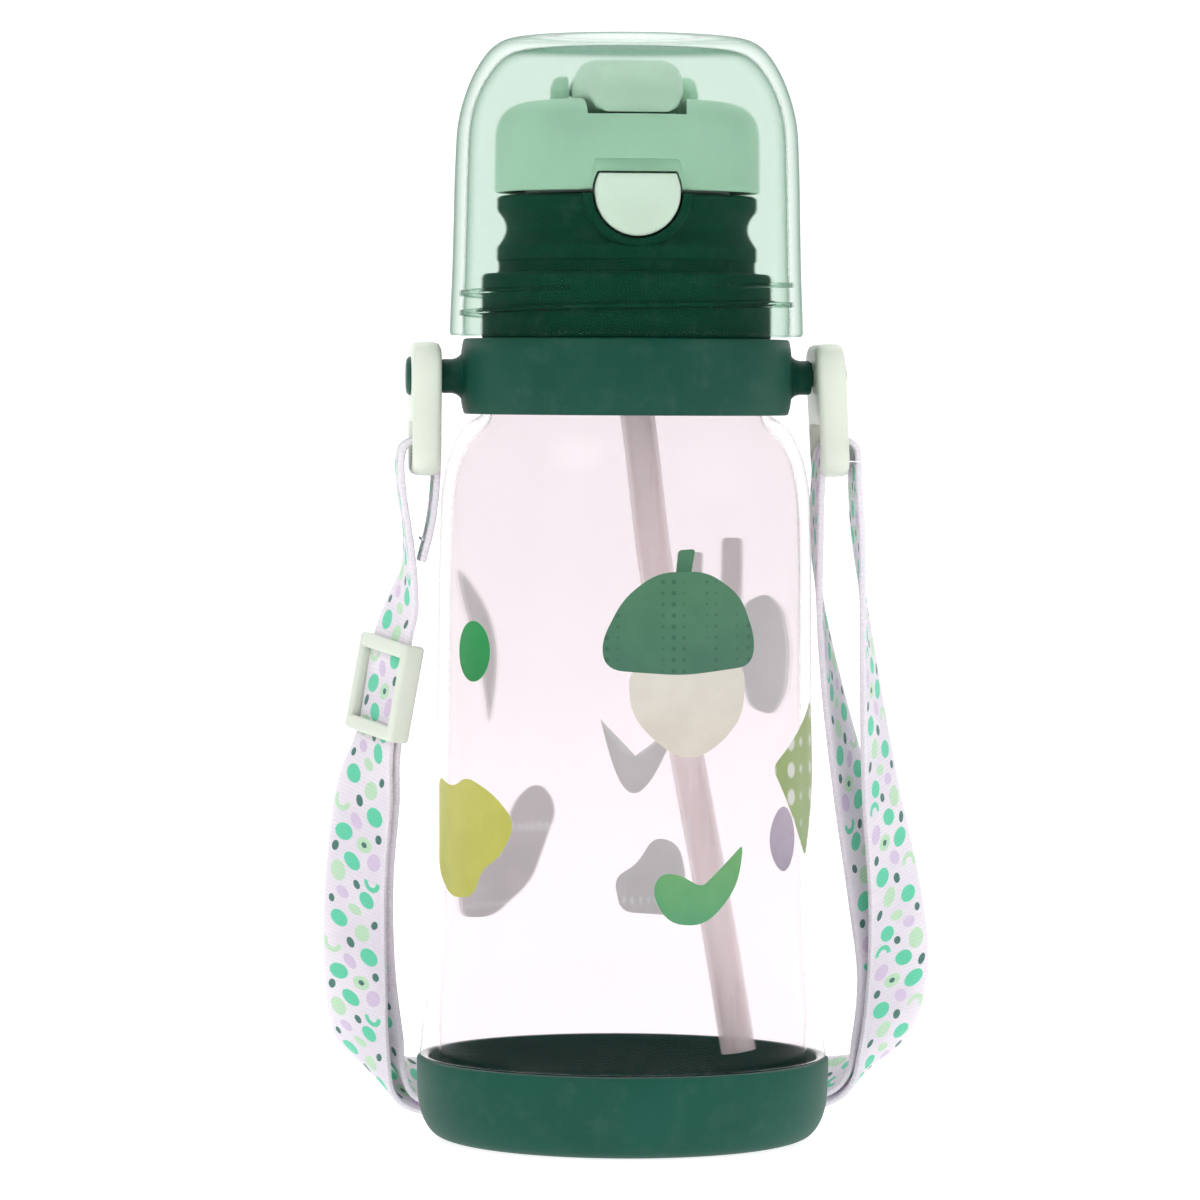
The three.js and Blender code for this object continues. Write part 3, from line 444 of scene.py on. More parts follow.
# Each point is x, y, z in millimetres and then the direction of the webbing's width there.
OUTER_RUN = [
    (-39.6, 0, 112, *EDGE_ON), (-37.9, 0, 119, *EDGE_ON), (-37, 0, 126.5, *EDGE_ON),
    (-37, 0, 132.6, *EDGE_ON), (-38, 0, 134.6, *EDGE_ON), (-40.2, 0, 135.3, *EDGE_ON),
    (-42.7, 0, 134.6, *EDGE_ON), (-43.7, 0, 132.4, *EDGE_ON), (-43.5, 0, 126, *EDGE_ON),
    (-42.3, 0, 118, *EDGE_ON), (-41.9, 0.4, 110, 0.1, -1, 0), (-43, 1.2, 103.5, 0.34, -0.94, 0),
    (*ADJUSTER_TOP, *IN_ADJUSTER), (*ADJUSTER_LOW, *IN_ADJUSTER), (-50, 5.2, 67, 0.66, -0.75, 0),
    (-51.4, 11.5, 50, 0.72, -0.69, 0), (-51.2, 21, 30, 0.76, -0.65, 0),
    (-49.6, 29, 15.4, 0.66, -0.73, -0.16),
    (-46.2, 34.4, 8.2, 0.36, -0.86, -0.34), (-40.4, 38.2, 5, 0.1, -0.88, -0.45),
    (-31, 43.8, 4.7, 0.1, -0.88, -0.46), (-16, 48.8, 4.7, 0, -0.89, -0.45), (0, 50.4, 4.7, 0, -0.89, -0.45),
    (16, 48.4, 4.7, 0, -0.89, -0.45), (31, 42.6, 4.7, -0.06, -0.88, -0.46),
    (42, 37.4, 5, -0.12, -0.88, -0.45),
    (50, 33.6, 8, -0.42, -0.84, -0.34), (54.6, 29.4, 15, -0.72, -0.68, -0.14),
    (56.6, 22.8, 28, -0.84, -0.54, 0),
    (54.8, 14.4, 46, -0.72, -0.69, 0), (51.2, 8, 66, -0.55, -0.83, 0), (48.6, 4.2, 86, -0.34, -0.94, 0),
    (46.7, 1.8, 104, -0.14, -0.99, 0), (45.4, 0.4, 118, *EDGE_ON), (44.8, 0, 127, *EDGE_ON),
    (44.6, 0, 131.4, *EDGE_ON),
]
RETURN_RUN = [
    (44.6, 0, 131.75, *EDGE_ON), (44.2, 0, 134.4, *EDGE_ON), (42, 0, 135.8, *EDGE_ON),
    (39.4, 0, 135.4, *EDGE_ON), (38.1, 0, 133.4, *EDGE_ON), (37.5, 0, 127, *EDGE_ON),
    (37.3, 0.4, 117.3, *EDGE_ON), (38.4, 3, 103.3, -0.14, -0.99, 0), (41.5, 6.8, 85.6, -0.34, -0.94, 0),
    (46, 11.4, 66.1, -0.55, -0.83, 0), (51, 17.5, 46.8, -0.72, -0.69, 0), (55, 24.9, 29, -0.84, -0.54, 0),
    (53.2, 30.8, 16.2, -0.72, -0.68, -0.14), (48.7, 33.7, 9.7, -0.42, -0.84, -0.34),
    (41.3, 36.6, 6.8, -0.12, -0.88, -0.45), (30.6, 41.8, 6.5, -0.06, -0.88, -0.46),
    (15.8, 47.6, 6.5, 0, -0.89, -0.45), (0, 49.6, 6.5, 0, -0.89, -0.45), (-15.8, 48, 6.5, 0, -0.89, -0.45),
    (-30.6, 43, 6.5, 0.1, -0.88, -0.46), (-39.3, 37.2, 7.2, 0.1, -0.88, -0.45),
    (-43.4, 34.6, 11, 0.36, -0.86, -0.34), (-46.6, 31.5, 17.4, 0.66, -0.73, -0.16),
    (-49.5, 23, 31, 0.76, -0.65, 0), (-50.1, 12.9, 50.4, 0.72, -0.69, 0),
    (-48.6, 6.5, 67.2, 0.66, -0.75, 0),
    (-46.7, 3.6, 77.2, *IN_ADJUSTER), (-45.4, 3.3, 84.6, *IN_ADJUSTER),
]
# Half width and half thickness of the webbing's section, going round it.
WEB_SECTION = [
    (-1, 0), (-0.985, -0.7), (-0.93, -1), (-0.5, -1), (0, -1), (0.5, -1), (0.93, -1), (0.985, -0.7),
    (1, 0), (0.985, 0.7), (0.93, 1), (0.5, 1), (0, 1), (-0.5, 1), (-0.93, 1), (-0.985, 0.7),
]


def webbing(name, route, material, replaces):
    """A flat woven strap along its route, with UVs in metres: across it, and along it."""
    rows = spline(route, 8)
    centres = [Vector(row[:3]) for row in rows]
    bm = bmesh.new()
    uv = bm.loops.layers.uv.new("weave")
    rings = []
    travelled = [0.0]
    for one, two in zip(centres, centres[1:]):
        travelled.append(travelled[-1] + (two - one).length)
    for i, (row, centre) in enumerate(zip(rows, centres)):
        tangent = (centres[min(i + 1, len(rows) - 1)] - centres[max(i - 1, 0)]).normalized()
        width = Vector(row[3:6])
        width = (width - tangent * width.dot(tangent)).normalized()
        face = tangent.cross(width)
        rings.append([
            bm.verts.new(centre + width * (a * WEB_W / 2) + face * (b * WEB_T / 2 * 0.96)) for a,
            b in WEB_SECTION
        ])
    count = len(WEB_SECTION)
    for i, (one, two) in enumerate(zip(rings, rings[1:])):
        for k in range(count):
            n = (k + 1) % count
            quad = bm.faces.new((one[k], one[n], two[n], two[k]))
            across = [WEB_SECTION[j][0] * WEB_W / 2 for j in (k, n, n, k)]
            for loop, x, y in zip(quad.loops, across, (travelled[i],) * 2 + (travelled[i + 1],) * 2):
                loop[uv].uv = (x * MM, y * MM)
    bm.faces.new(reversed(rings[0]))
    bm.faces.new(rings[-1])
    made = piece(name, bm, material, "strap", replaces)
    return made, [tuple(c * MM) for c in centres], travelled[-1] * MM


def webbing_material(name):
    """Printed polyester webbing: ribs, folded edges with a painted highlight along them and a repeating print
    of dots, ovals and arcs.
    """
    g = Graph(name)
    where = g.place("UV")
    u, v, _ = g.axes(where)
    across = (u * 1000.0) / (WEB_W / 2)
    along = v * 1000.0
    ribs = g.math("SINE", along * (TAU / 0.85))
    yarns = g.math("SINE", u * (1000.0 * TAU / 0.62) + g.math("ROUND", along / 0.85) * math.pi)
    weave = ribs * 0.5 + yarns * 0.5
    fuzz = g.noise(where, 5200.0, 4.0, 0.7)
    fade = g.noise(where, 60.0, 2.0)
    tint = g.mix(fade.between(0.3, 0.7), srgb(240, 232, 242), srgb(229, 221, 234))

    def motif(base, at, reach, colour, turn=0.0, repeat=31.0, ring=None):
        """An oval, or an arc of one, printed once in each repeat."""
        x, y = at
        span = along - y
        span = span - g.math("FLOOR", span / repeat + 0.5) * repeat
        side = u * 1000.0 - x
        c, s = math.cos(turn), math.sin(turn)
        a = (side * c + span * s) / reach[0]
        b = (span * c - side * s) / reach[1]
        distance = g.math("SQRT", a * a + b * b)
        inside = g.math("SUBTRACT", 1.0, distance.between(0.93, 1.05))
        if ring:
            inside = inside * distance.between(ring - 0.06, ring + 0.06) * b.between(-0.2, 0.05)
        return g.mix(inside, base, colour)

    green, pale, dark, lilac = srgb(84, 208, 166), srgb(188, 226, 190), srgb(45, 110, 95), srgb(216, 196,
        226)
    for at, reach, colour, turn, ring in (
        ((-3.4, 1.8), (2.1, 1.8), green, 0.2, None), ((2.2, 3.4), (1.7, 2.1), pale, 0.6, None),
        ((5.2, 0.6), (0.7, 1.1), dark, 0.5, None), ((-0.6, 6.4), (0.9, 1.2), dark, -0.4, None),
        ((-4.9, 7.6), (2.2, 2.5), pale, 0.3, 0.55), ((3.8, 8.4), (2.1, 2.0), green, 0.1, None),
        ((-0.8, 10.8), (1.8, 1.3), lilac, 0.8, None), ((5.3, 12.6), (0.8, 1.0), dark, 0.2, None),
        ((-3.6, 14.0), (2.3, 1.8), green, -0.3, None), ((1.8, 15.0), (2.0, 1.6), pale, -0.2, None),
        ((1.8, 15.0), (0.7, 0.6), dark, 0, None), ((-5.4, 17.6), (0.8, 1.2), dark, 0.4, None),
        ((4.6, 17.8), (1.6, 2.0), lilac, 0.5, None), ((-0.9, 19.4), (2.2, 1.7), green, 0.4, None),
        ((4.4, 22.2), (2.0, 2.2), green, 0, 0.5), ((-4.2, 22.6), (1.9, 2.2), pale, 0, None),
        ((0.6, 24.0), (0.8, 1.0), dark, -0.6, None), ((-2.8, 26.8), (1.6, 1.2), lilac, 0.3, None),
        ((3.2, 26.6), (1.9, 1.7), green, 0.7, None), ((-5.4, 29.0), (0.7, 0.9), dark, 0, None),
        ((0.4, 29.6), (1.7, 1.1), pale, 0.2, None),
    ):
        tint = motif(tint, at, reach, colour, turn, ring=ring)
    shade = g.mix(weave.between(-0.9, 0.6) * 0.14 + fuzz * 0.05, tint,
        tuple(0.55 * c for c in srgb(190, 186, 196)))
    # Lighter along the folded edges: a painted highlight where the rounded edge catches the light; the same
    # mask sinks the edges in the relief.
    fold_and_highlight = g.math("ABSOLUTE", across).between(0.86, 0.97)
    tint = g.mix(fold_and_highlight * 0.35, shade, srgb(238, 233, 242))
    relief = g.bump(weave * 0.5 + fuzz * 0.6 - fold_and_highlight * 0.4, 0.7, 0.00016)
    dull = 0.74 + fuzz * 0.18
    return g.surface(g.principled(Base_Color=tint, Roughness=dull, Normal=relief, Sheen_Weight=0.2,
                                  Sheen_Roughness=0.45, Subsurface_Weight=0.4,
                                  Subsurface_Radius=(0.005, 0.005, 0.005), Subsurface_Scale=1.0))


def adjuster_place():
    """The adjuster's own frame: across the webbing, up along it and out of its face."""
    top, low = Vector(ADJUSTER_TOP), Vector(ADJUSTER_LOW)
    up = (top - low).normalized()
    across = Vector(IN_ADJUSTER)
    across = (across - up * across.dot(up)).normalized()
    rotation = Matrix((across, up, across.cross(up))).transposed().to_4x4()
    return Matrix.Translation((top + low) / 2) @ rotation


def make_strap():
    web = webbing_material("woven_webbing")
    outer, path, length = webbing("webbing_outer", OUTER_RUN, web, ("strap_outer_run",))
    back, back_path, back_length = webbing("webbing_return", RETURN_RUN, web, ("strap_return_run",))
    place = adjuster_place()
    bm = bmesh.new()
    inside, rail, depth = WEB_W + 0.9, 2.0, WEB_T + 3.2
    for side in (-1, 1):
        boxed(bm, (rail, 19, depth), (side * (inside + rail) / 2, 0, 0), 0.8, place)
        boxed(bm, (inside + 2, 2.8, 1.3), (0, side * 8.1, depth / 2 - 0.65), 0.55, place)
    boxed(bm, (inside + 2, 4.4, 1.3), (0, 0, 0.65 - depth / 2), 0.55, place)
    slider = piece("slider", bm, moulded("sage_moulding", chosen("sage"), 0.36), "strap",
                   ("strap_adjuster",))
    bm = bmesh.new()
    for k in range(9):
        for side, x in ((-1, -39.95), (1, -41.1)):
            z = 116.2 - 0.15 * side
            y = -5.6 + 1.4 * k
            boxed(bm, (0.35, 0.95, 0.5), (x - 0.35 * side, y, z), 0.12)
    stitches = piece("eye_stitches", bm, moulded("thread", srgb(232, 226, 236), 0.7), "strap", ())


# ---- Stage ---------------------------------------------------------------------------------------------
def make_stage():
    """The white sweep, the lights and the camera."""
    for name in ("sweep", "camera", "key", "fill", "top"):
        fresh(name)
    bm = bmesh.new()
    verts = [bm.verts.new((-8, p.x, p.y)) for p in softened([(-6.5, 0), (5.5, 0, 3), (5.5, 8)], 16)]
    edges = [bm.edges.new(pair) for pair in zip(verts, verts[1:])]
    swept = bmesh.ops.extrude_edge_only(bm, edges=edges)["geom"]
    bmesh.ops.translate(bm, verts=[v for v in swept if isinstance(v, bmesh.types.BMVert)], vec=(16, 0, 0))
    mesh = bpy.data.meshes.new("sweep")
    bm.to_mesh(mesh)
    bm.free()
    mesh.shade_smooth()
    g = Graph("paper")
    where = g.place()
    grain = g.noise(where, 700.0, 3.0)
    tint = g.mix(grain, (0.49, 0.49, 0.495), (0.51, 0.51, 0.51))
    mesh.materials.append(g.surface(g.principled(Base_Color=tint, Roughness=0.9,
                                                 Normal=g.bump(grain, 0.02, 0.0002),
                                                 Emission_Color=(1.0, 1.0, 1.0), Emission_Strength=0.85)))
    sweep = bpy.data.objects.new("sweep", mesh)
    bpy.context.collection.objects.link(sweep)
    world = bpy.data.worlds.get("studio") or bpy.data.worlds.new("studio")
    world.use_nodes = True
    world.node_tree.nodes["Background"].inputs["Color"].default_value = (1, 1, 1, 1)
    world.node_tree.nodes["Background"].inputs["Strength"].default_value = 0.52
    bpy.context.scene.world = world
    bpy.context.scene.view_settings.view_transform = "Standard"
    for name, place, size, power in (
        ("key", (-0.9, -1.0, 1.3), 0.9, 9.6),
        ("fill", (1.2, -0.8, 0.8), 1.0, 4.8),
        ("top", (0.1, 0.5, 1.5), 1.2, 7.2),
    ):
        data = bpy.data.lights.new(name, "AREA")
        data.size = size
        data.energy = power
        light = bpy.data.objects.new(name, data)
        bpy.context.collection.objects.link(light)
        light.location = place
        aim = Vector((0, 0, 0.1)) - light.location
        light.rotation_euler = aim.to_track_quat("-Z", "Y").to_euler()
    lens = bpy.data.cameras.new("camera")
    lens.lens = 181.1
    lens.sensor_width = 36.0
    lens.shift_x = -0.0208
    lens.clip_start = 0.01
    camera = bpy.data.objects.new("camera", lens)
    bpy.context.collection.objects.link(camera)
    azimuth, pitch, roll = math.radians(4.7), math.radians(2.04), math.radians(0.3)
    distance = chosen("distance")
    camera.location = (-distance * math.sin(azimuth), -distance * math.cos(azimuth), 0.1462)
    look = Vector((math.sin(azimuth) * math.cos(pitch), math.cos(azimuth) * math.cos(pitch),
        -math.sin(pitch)))
    turn = look.to_track_quat("-Z", "Y") @ Matrix.Rotation(roll, 3, "Z").to_quaternion()
    camera.rotation_euler = turn.to_euler()
    bpy.context.scene.camera = camera


# ---- Bottle and boot -----------------------------------------------------------------------------------
BODY_SIDE = [
    (39.3, 18.0, 0.8), (39.1, 21), (38.4, 26, 3), (37.6, 31, 4), (37.0, 43, 8), (36.6, 58, 12),
    (36.3, 90, 14),
    (36.1, 112, 8), (35.8, 124, 3), (35.3, 128, 2), (34.3, 132.4, 2), (32.4, 136.6, 2), (30.9, 138.8, 1.4),
    (28.6, 139.9, 0.8), (NECK_OUT, 140.4, 0.6),
]


def side_radius(z):
    """Outer radius of the bottle's side at a height."""
    for (r0, z0, *_), (r1, z1, *_) in zip(BODY_SIDE, BODY_SIDE[1:]):
        if z <= z1:
            t = (z - z0) / (z1 - z0)
            return r0 + (r1 - r0) * t
    return NECK_OUT


def make_boot():
    bm = bmesh.new()
    turned(bm, [
        (0, 0), (33.6, 0, 1.2), (36.4, 0.7, 1.5), (38.2, 2.7, 1.8), (39.4, 5.6, 2), (39.9, 9, 2),
        (40, BOOT_H - 0.4),
        (39.7, BOOT_H, 0.35), (38.2, BOOT_H, 0.2), (38, BOOT_H - 1, 0.4), (38, 9.6, 2), (37.4, 6.6, 2),
        (36, 4, 2),
        (33, 2.4, 1), (2.2, 2.4, 0.6), (2, 3.2, 0.4), (1.7, 8.0, 0.4), (0, 8.2),
    ])
    piece("boot", bm, moulded("boot_rubber", chosen("boot_green"), 0.55, 0.6, rubber=True, gloss=0.2),
        "bottle",
          ("base_boot",))


def body_material(name):
    return clear(name, srgb(216, 202, 208), srgb(74, 54, 64), 0.4, (0.66, 0.98), 0.4)


def make_body():
    outer = [
        (0, 8.5), (10, 7.94, 3), (20, 6.4, 4), (28, 4.0, 3), (31.2, 2.9, 1.4), (33.4, 2.9, 1.2),
        (36.2, 4.8, 1.8),
        (37.5, 9.6, 2), (37.6, 16.0, 0.3), (38.6, 16.4, 0.4), (39.6, 16.4, 0.5),
    ] + BODY_SIDE + [(NECK_OUT, NECK_TOP - 0.5, 0.4), (NECK_OUT - 0.5, NECK_TOP, 0.4)]
    inner = [
        (NECK_R + 0.4, NECK_TOP, 0.3), (NECK_R, NECK_TOP - 0.6, 0.4), (NECK_R, 139.6, 1.5),
        (28.2, 137.4, 1.5),
        (30.4, 135.2, 2), (32.2, 131.4, 2), (33.2, 127.2, 2), (33.7, 122, 3), (34.0, 112, 8),
        (34.2, 90, 14),
        (34.5, 58, 12), (34.9, 43, 8), (35.5, 31, 4), (36.2, 26, 3), (35.6, 18, 3), (35.4, 11, 3),
        (34, 7, 2.4),
        (31.4, 5.2, 1.6), (28, 6.2, 3), (20, 8.6, 4), (10, 10.1, 3), (0, 10.6),
    ]
    bm = bmesh.new()
    turned(bm, outer + inner)
    ridge(bm, NECK_OUT - 0.1, 0.6, NECK_Z + 3.2, 1.5)
    piece("bottle", bm, body_material("clear_bottle"), "bottle", ("bottle_body",))


# ---- Print ---------------------------------------------------------------------------------------------
CAMERA_TURN = math.radians(4.7)


def resampled(outline, step):
    """The same closed outline with extra points on its long edges."""
    made = []
    for one, two in zip(outline, outline[1:] + outline[:1]):
        count = max(1, math.ceil(math.dist(one, two) / step))
        made += [tuple(a + (b - a) * k / count for a, b in zip(one, two)) for k in range(count)]
    return made


def printed(name, outline, material, lift=0.07):
    """A printed shape on the bottle's side: its outline is (sideways, height) as seen from the front."""
    cx = sum(p[0] for p in outline) / len(outline)
    cz = sum(p[1] for p in outline) / len(outline)
    bm = bmesh.new()
    loops = []
    outline = resampled(outline, 1.1)
    reach = max(math.dist(p, (cx, cz)) for p in outline)
    steps = max(4, round(reach / 1.2))
    for k in range(1, steps + 1):
        t = k / steps
        row = []
        for x, z in outline:
            row.append(on_side(cx + (x - cx) * t, cz + (z - cz) * t, lift))
        loops.append([bm.verts.new(p) for p in row])
    middle = bm.verts.new(on_side(cx, cz, lift))
    count = len(outline)
    for i in range(count):
        j = (i + 1) % count
        bm.faces.new((middle, loops[0][i], loops[0][j]))
        for one, two in zip(loops, loops[1:]):
            bm.faces.new((one[i], two[i], two[j], one[j]))
    bmesh.ops.recalc_face_normals(bm, faces=bm.faces)
    outwards = 0.0
    for f in bm.faces:
        centre = f.calc_center_median()
        outwards += f.normal.x * centre.x + f.normal.y * centre.y
    if outwards < 0:
        bmesh.ops.reverse_faces(bm, faces=bm.faces)
    return piece(name, bm, material, "bottle")


def on_side(arc, z, lift):
    """A point on the bottle's side: arc is the distance round it from the front, as the camera faces it."""
    r = side_radius(z) + lift
    a = arc / BODY_R
    x, y = r * math.sin(a), -r * math.cos(a)
    c, s = math.cos(CAMERA_TURN), math.sin(CAMERA_TURN)
    return (x * c + y * s, y * c - x * s, z)


def oval(cx, cz, rx, rz, turn=0.0, count=40, power=1.0, pinch=0.0):
    made = []
    for k in range(count):
        a = TAU * k / count
        x = math.copysign(abs(math.cos(a)) ** power, math.cos(a)) * rx
        y = math.copysign(abs(math.sin(a)) ** power, math.sin(a)) * rz
        x *= 1 + pinch * y / rz
        made.append((cx + x * math.cos(turn) - y * math.sin(turn),
            cz + x * math.sin(turn) + y * math.cos(turn)))
    return made


def ink(name, top, low, span=(0, 1), dots=None, alpha=1.0, painted_glow=0.0):
    """Screen-printed ink: a gradient with height, thin spots, fine halftone grain, if asked, dots, and, if
    asked, a painted glow that stands in for light falling on it.
    """
    g = Graph(name)
    where = g.place()
    x, y, z = g.axes(where)
    height = z.between(span[0] * MM, span[1] * MM)
    grain = g.noise(where, 3200.0, 3.0)
    thin = g.noise(where, 160.0, 4.0, 0.6)
    tint = g.mix(height, low, top)
    tint = g.mix(thin.between(0.35, 0.7) * 0.22, tint, tuple(min(1, c * 1.25 + 0.02) for c in top))
    if dots:
        step, size, colour = dots
        cells = g.node("TexVoronoi", {"feature": "F1"}, Vector=where, Scale=1 / (step * MM), Randomness=0.0)
        tint = g.mix(1.0 - cells.between(size - 0.06, size + 0.06), tint, colour)
    return g.surface(g.principled(Base_Color=tint, Roughness=0.35 + grain * 0.2,
                                  Normal=g.bump(grain, 0.25, 0.00003), Coat_Weight=0.1, Coat_Roughness=0.15,
                                  Specular_IOR_Level=0.3,
                                  Alpha=alpha, Emission_Color=tint, Emission_Strength=painted_glow))


def blob(*points, reach=9.0, steps=8):
    """A closed outline with every corner rounded."""
    return [(p.x, p.y) for p in softened([(x, z, reach) for x, z in points], steps, closed=True)]


def leaf(tail, tip, width, bend, count=22):
    """A pointed leaf between two points, bent sideways in the middle."""
    start, end = Vector(tail), Vector(tip)
    along = end - start
    side = Vector((-along.y, along.x)).normalized()
    right, left = [], []
    for k in range(count + 1):
        t = k / count
        spine = start + along * t + side * bend * math.sin(math.pi * t)
        half = width / 2 * math.sin(math.pi * t**0.8) ** 0.9 if 0 < t < 1 else 0.05
        right.append(spine - side * half)
        left.append(spine + side * half)
    return [(p.x, p.y) for p in right + left[-2:0:-1]]


# Name, outline, upper ink, lower ink and whether it has dots; inks are 8-bit colours.
PRINTS = [
    ("acorn_nut", blob((0.6, 93.4), (24.6, 94), (24.4, 84), (18.4, 78), (12.6, 75.4), (7, 78), (1.2, 84),
        reach=4),
     (255, 250, 238), (252, 240, 226), None),
    ("acorn_cup", blob((-4.6, 97.6), (-3.4, 92.6), (11, 91.6), (26.2, 93.2), (27.2, 98.2), (23.6, 106.4),
        (16, 111.2),
                       (6, 111), (-0.4, 106), reach=3.4), (86, 146, 110), (78, 134, 108),
                       (2.1, 0.22, (66, 120, 94))),
    ("acorn_stem", blob((9.6, 110), (12.6, 110), (13.6, 115.4), (10.2, 115.2), reach=0.8), (86, 146, 110),
     (66, 122, 92), None),
    ("long_leaf", blob((5.2, 50.5), (6.8, 54.4), (11, 54), (15, 51.2), (20.5, 55.5), (24.4, 60.2),
        (23, 52.5),
                       (19.6, 47.8), (15, 44.2), (8.4, 44.8), reach=3), (128, 198, 126), (104, 186, 132),
                       None),
    ("round_seed", oval(-33.3, 95.4, 5.0, 5.8), (24, 172, 88), (12, 158, 78), None),
    ("lime_leaf", blob((-49, 71), (-40, 69), (-35, 71.6), (-27, 68.6), (-21.4, 63.4), (-25, 56.6),
        (-30, 54), (-32, 48.6),
                       (-40, 48), (-47.6, 53), reach=3.2), (226, 224, 108), (216, 216, 96), None),
    ("dotted_sail", blob((50.6, 86), (54, 72), (45.4, 55.4), (32, 73.6), reach=2.2), (178, 198, 128),
        (166, 192, 126),
     (5.2, 0.34, (248, 250, 240))),
    ("mauve_seed", oval(35.6, 59.8, 4.4, 6.2, power=1.1), (206, 190, 210), (188, 176, 196), None),
    ("rear_leaf", leaf((103.6, 78), (118.8, 79.4), 7.6, -10.5), (128, 198, 126), (104, 186, 132), None),
    ("rear_cloud", blob((101.4, 48), (103, 54.6), (108, 56), (111.6, 50), (116, 47.6), (114.6, 40.6),
        (103, 40), reach=2.6),
     (86, 190, 160), (70, 176, 150), None),
    ("rear_fan", blob((73.6, 94), (76, 102), (82, 105.4), (88.6, 103), (90, 92), (87, 82.4), (80, 81),
        (75, 86), reach=2.6),
     (96, 196, 150), (80, 180, 140), None),
    ("rear_bar", blob((88.6, 116), (93.6, 116), (94, 99), (89, 98.4), reach=1.2), (236, 150, 150),
        (226, 138, 140), None),
    ("rear_chip", blob((98, 113), (103.4, 113), (103.6, 108), (98.2, 108), reach=0.8), (236, 150, 150),
     (226, 138, 140), None),
    ("rear_vine", leaf((155.4, 110), (144, 79), 6.2, -4.2), (150, 130, 96), (166, 142, 104), None),
    ("rear_pod", blob((153.4, 46), (152, 41), (142, 40.4), (133, 47), (127.4, 62), (131.4, 67.4), (137, 64),
        (141, 54),
                      reach=3.4), (186, 150, 104), (172, 138, 96), None),
]


INK_DEPTH = 0.6  # the bright stage lightens the inks by as much


def make_prints():
    # The white backing glows: painted light, so the prints seen from behind through the bottle look lit.
    backing = ink("ink_backing", srgb(226, 234, 230), srgb(220, 228, 225), span=(40, 110), alpha=0.85,
        painted_glow=0.42)
    for name, outline, top, low, dots in PRINTS:
        heights = [z for _, z in outline]
        if dots:
            dots = (*dots[:2], tuple(INK_DEPTH * c for c in srgb(*dots[2])))
        top, low = (tuple(INK_DEPTH * c for c in srgb(*ink_colour)) for ink_colour in (top, low))
        paint = ink("ink_" + name, top, low, span=(min(heights), max(heights)), dots=dots)
        lift = {"acorn_cup": 0.12, "dotted_sail": 0.09}.get(name, 0.07)
        printed("print_" + name, outline, paint, lift)
        printed("print_" + name + "_backing", outline, backing, 0.03)


# ---- Collar, loops and rivets --------------------------------------------------------------------------
def make_collar():
    bm = bmesh.new()
    top, low = COLLAR_TOP, NECK_Z
    turned(bm, [
        (30.3, low + 0.3), (30.6, low, 0.3), (31.4, low + 0.1, 0.4), (31.9, low + 1.9, 1.2),
        (32.1, low + 4.6, 2),
        (COLLAR_R, low + 7.4, 2.4), (32.1, low + 10.2, 2), (31.9, low + 12.9, 1.2), (31.5, top - 0.1, 0.4),
        (30.5, top, 0.3), (30.35, top - 0.4, 0.2), (30.3, top - 2),
    ], closed=True)
    for side in (-1, 1):
        rings = []
        for x, r in ((31.0, 5.2), (31.9, 4.5), (32.4, 3.9), (33.0, 3.5), (33.8, 3.3), (35.5, 3.3),
                (35.9, 3.05)):
            rings.append([(side * x, r * math.cos(TAU * k / 48),
                LUG_Z + r * math.sin(TAU * k / 48)) for k in range(48)])
        lofted(bm, rings)
    piece("collar", bm, moulded("dark_moulding", chosen("dark_green"), 0.44, 0.4, gloss=0.18), "lid",
        ("carry_collar",))


def loop_place(side):
    lean = math.radians(3.0 if side > 0 else 0.0)
    centre = Vector((side * LOOP_X, 0, LUG_Z))
    turn = Matrix.Rotation(-lean, 4, "Y")
    basis = Matrix(((0, 0, 1), (1, 0, 0), (0, 1, 0))).to_4x4()
    return Matrix.Translation(centre) @ turn @ basis


def ray_hit(outline, centre, angle):
    """Where a ray from a point inside a closed outline crosses it."""
    way = Vector((math.cos(angle), math.sin(angle)))
    best = None
    for one, two in zip(outline, outline[1:] + outline[:1]):
        edge = two - one
        cross = way.x * edge.y - way.y * edge.x
        if abs(cross) < 1e-9:
            continue
        gap = one - centre
        t = (gap.x * edge.y - gap.y * edge.x) / cross
        s = (gap.x * way.y - gap.y * way.x) / cross
        if t > 0 and -1e-6 <= s <= 1 + 1e-6 and (best is None or t > best):
            best = t
    return centre + way * best


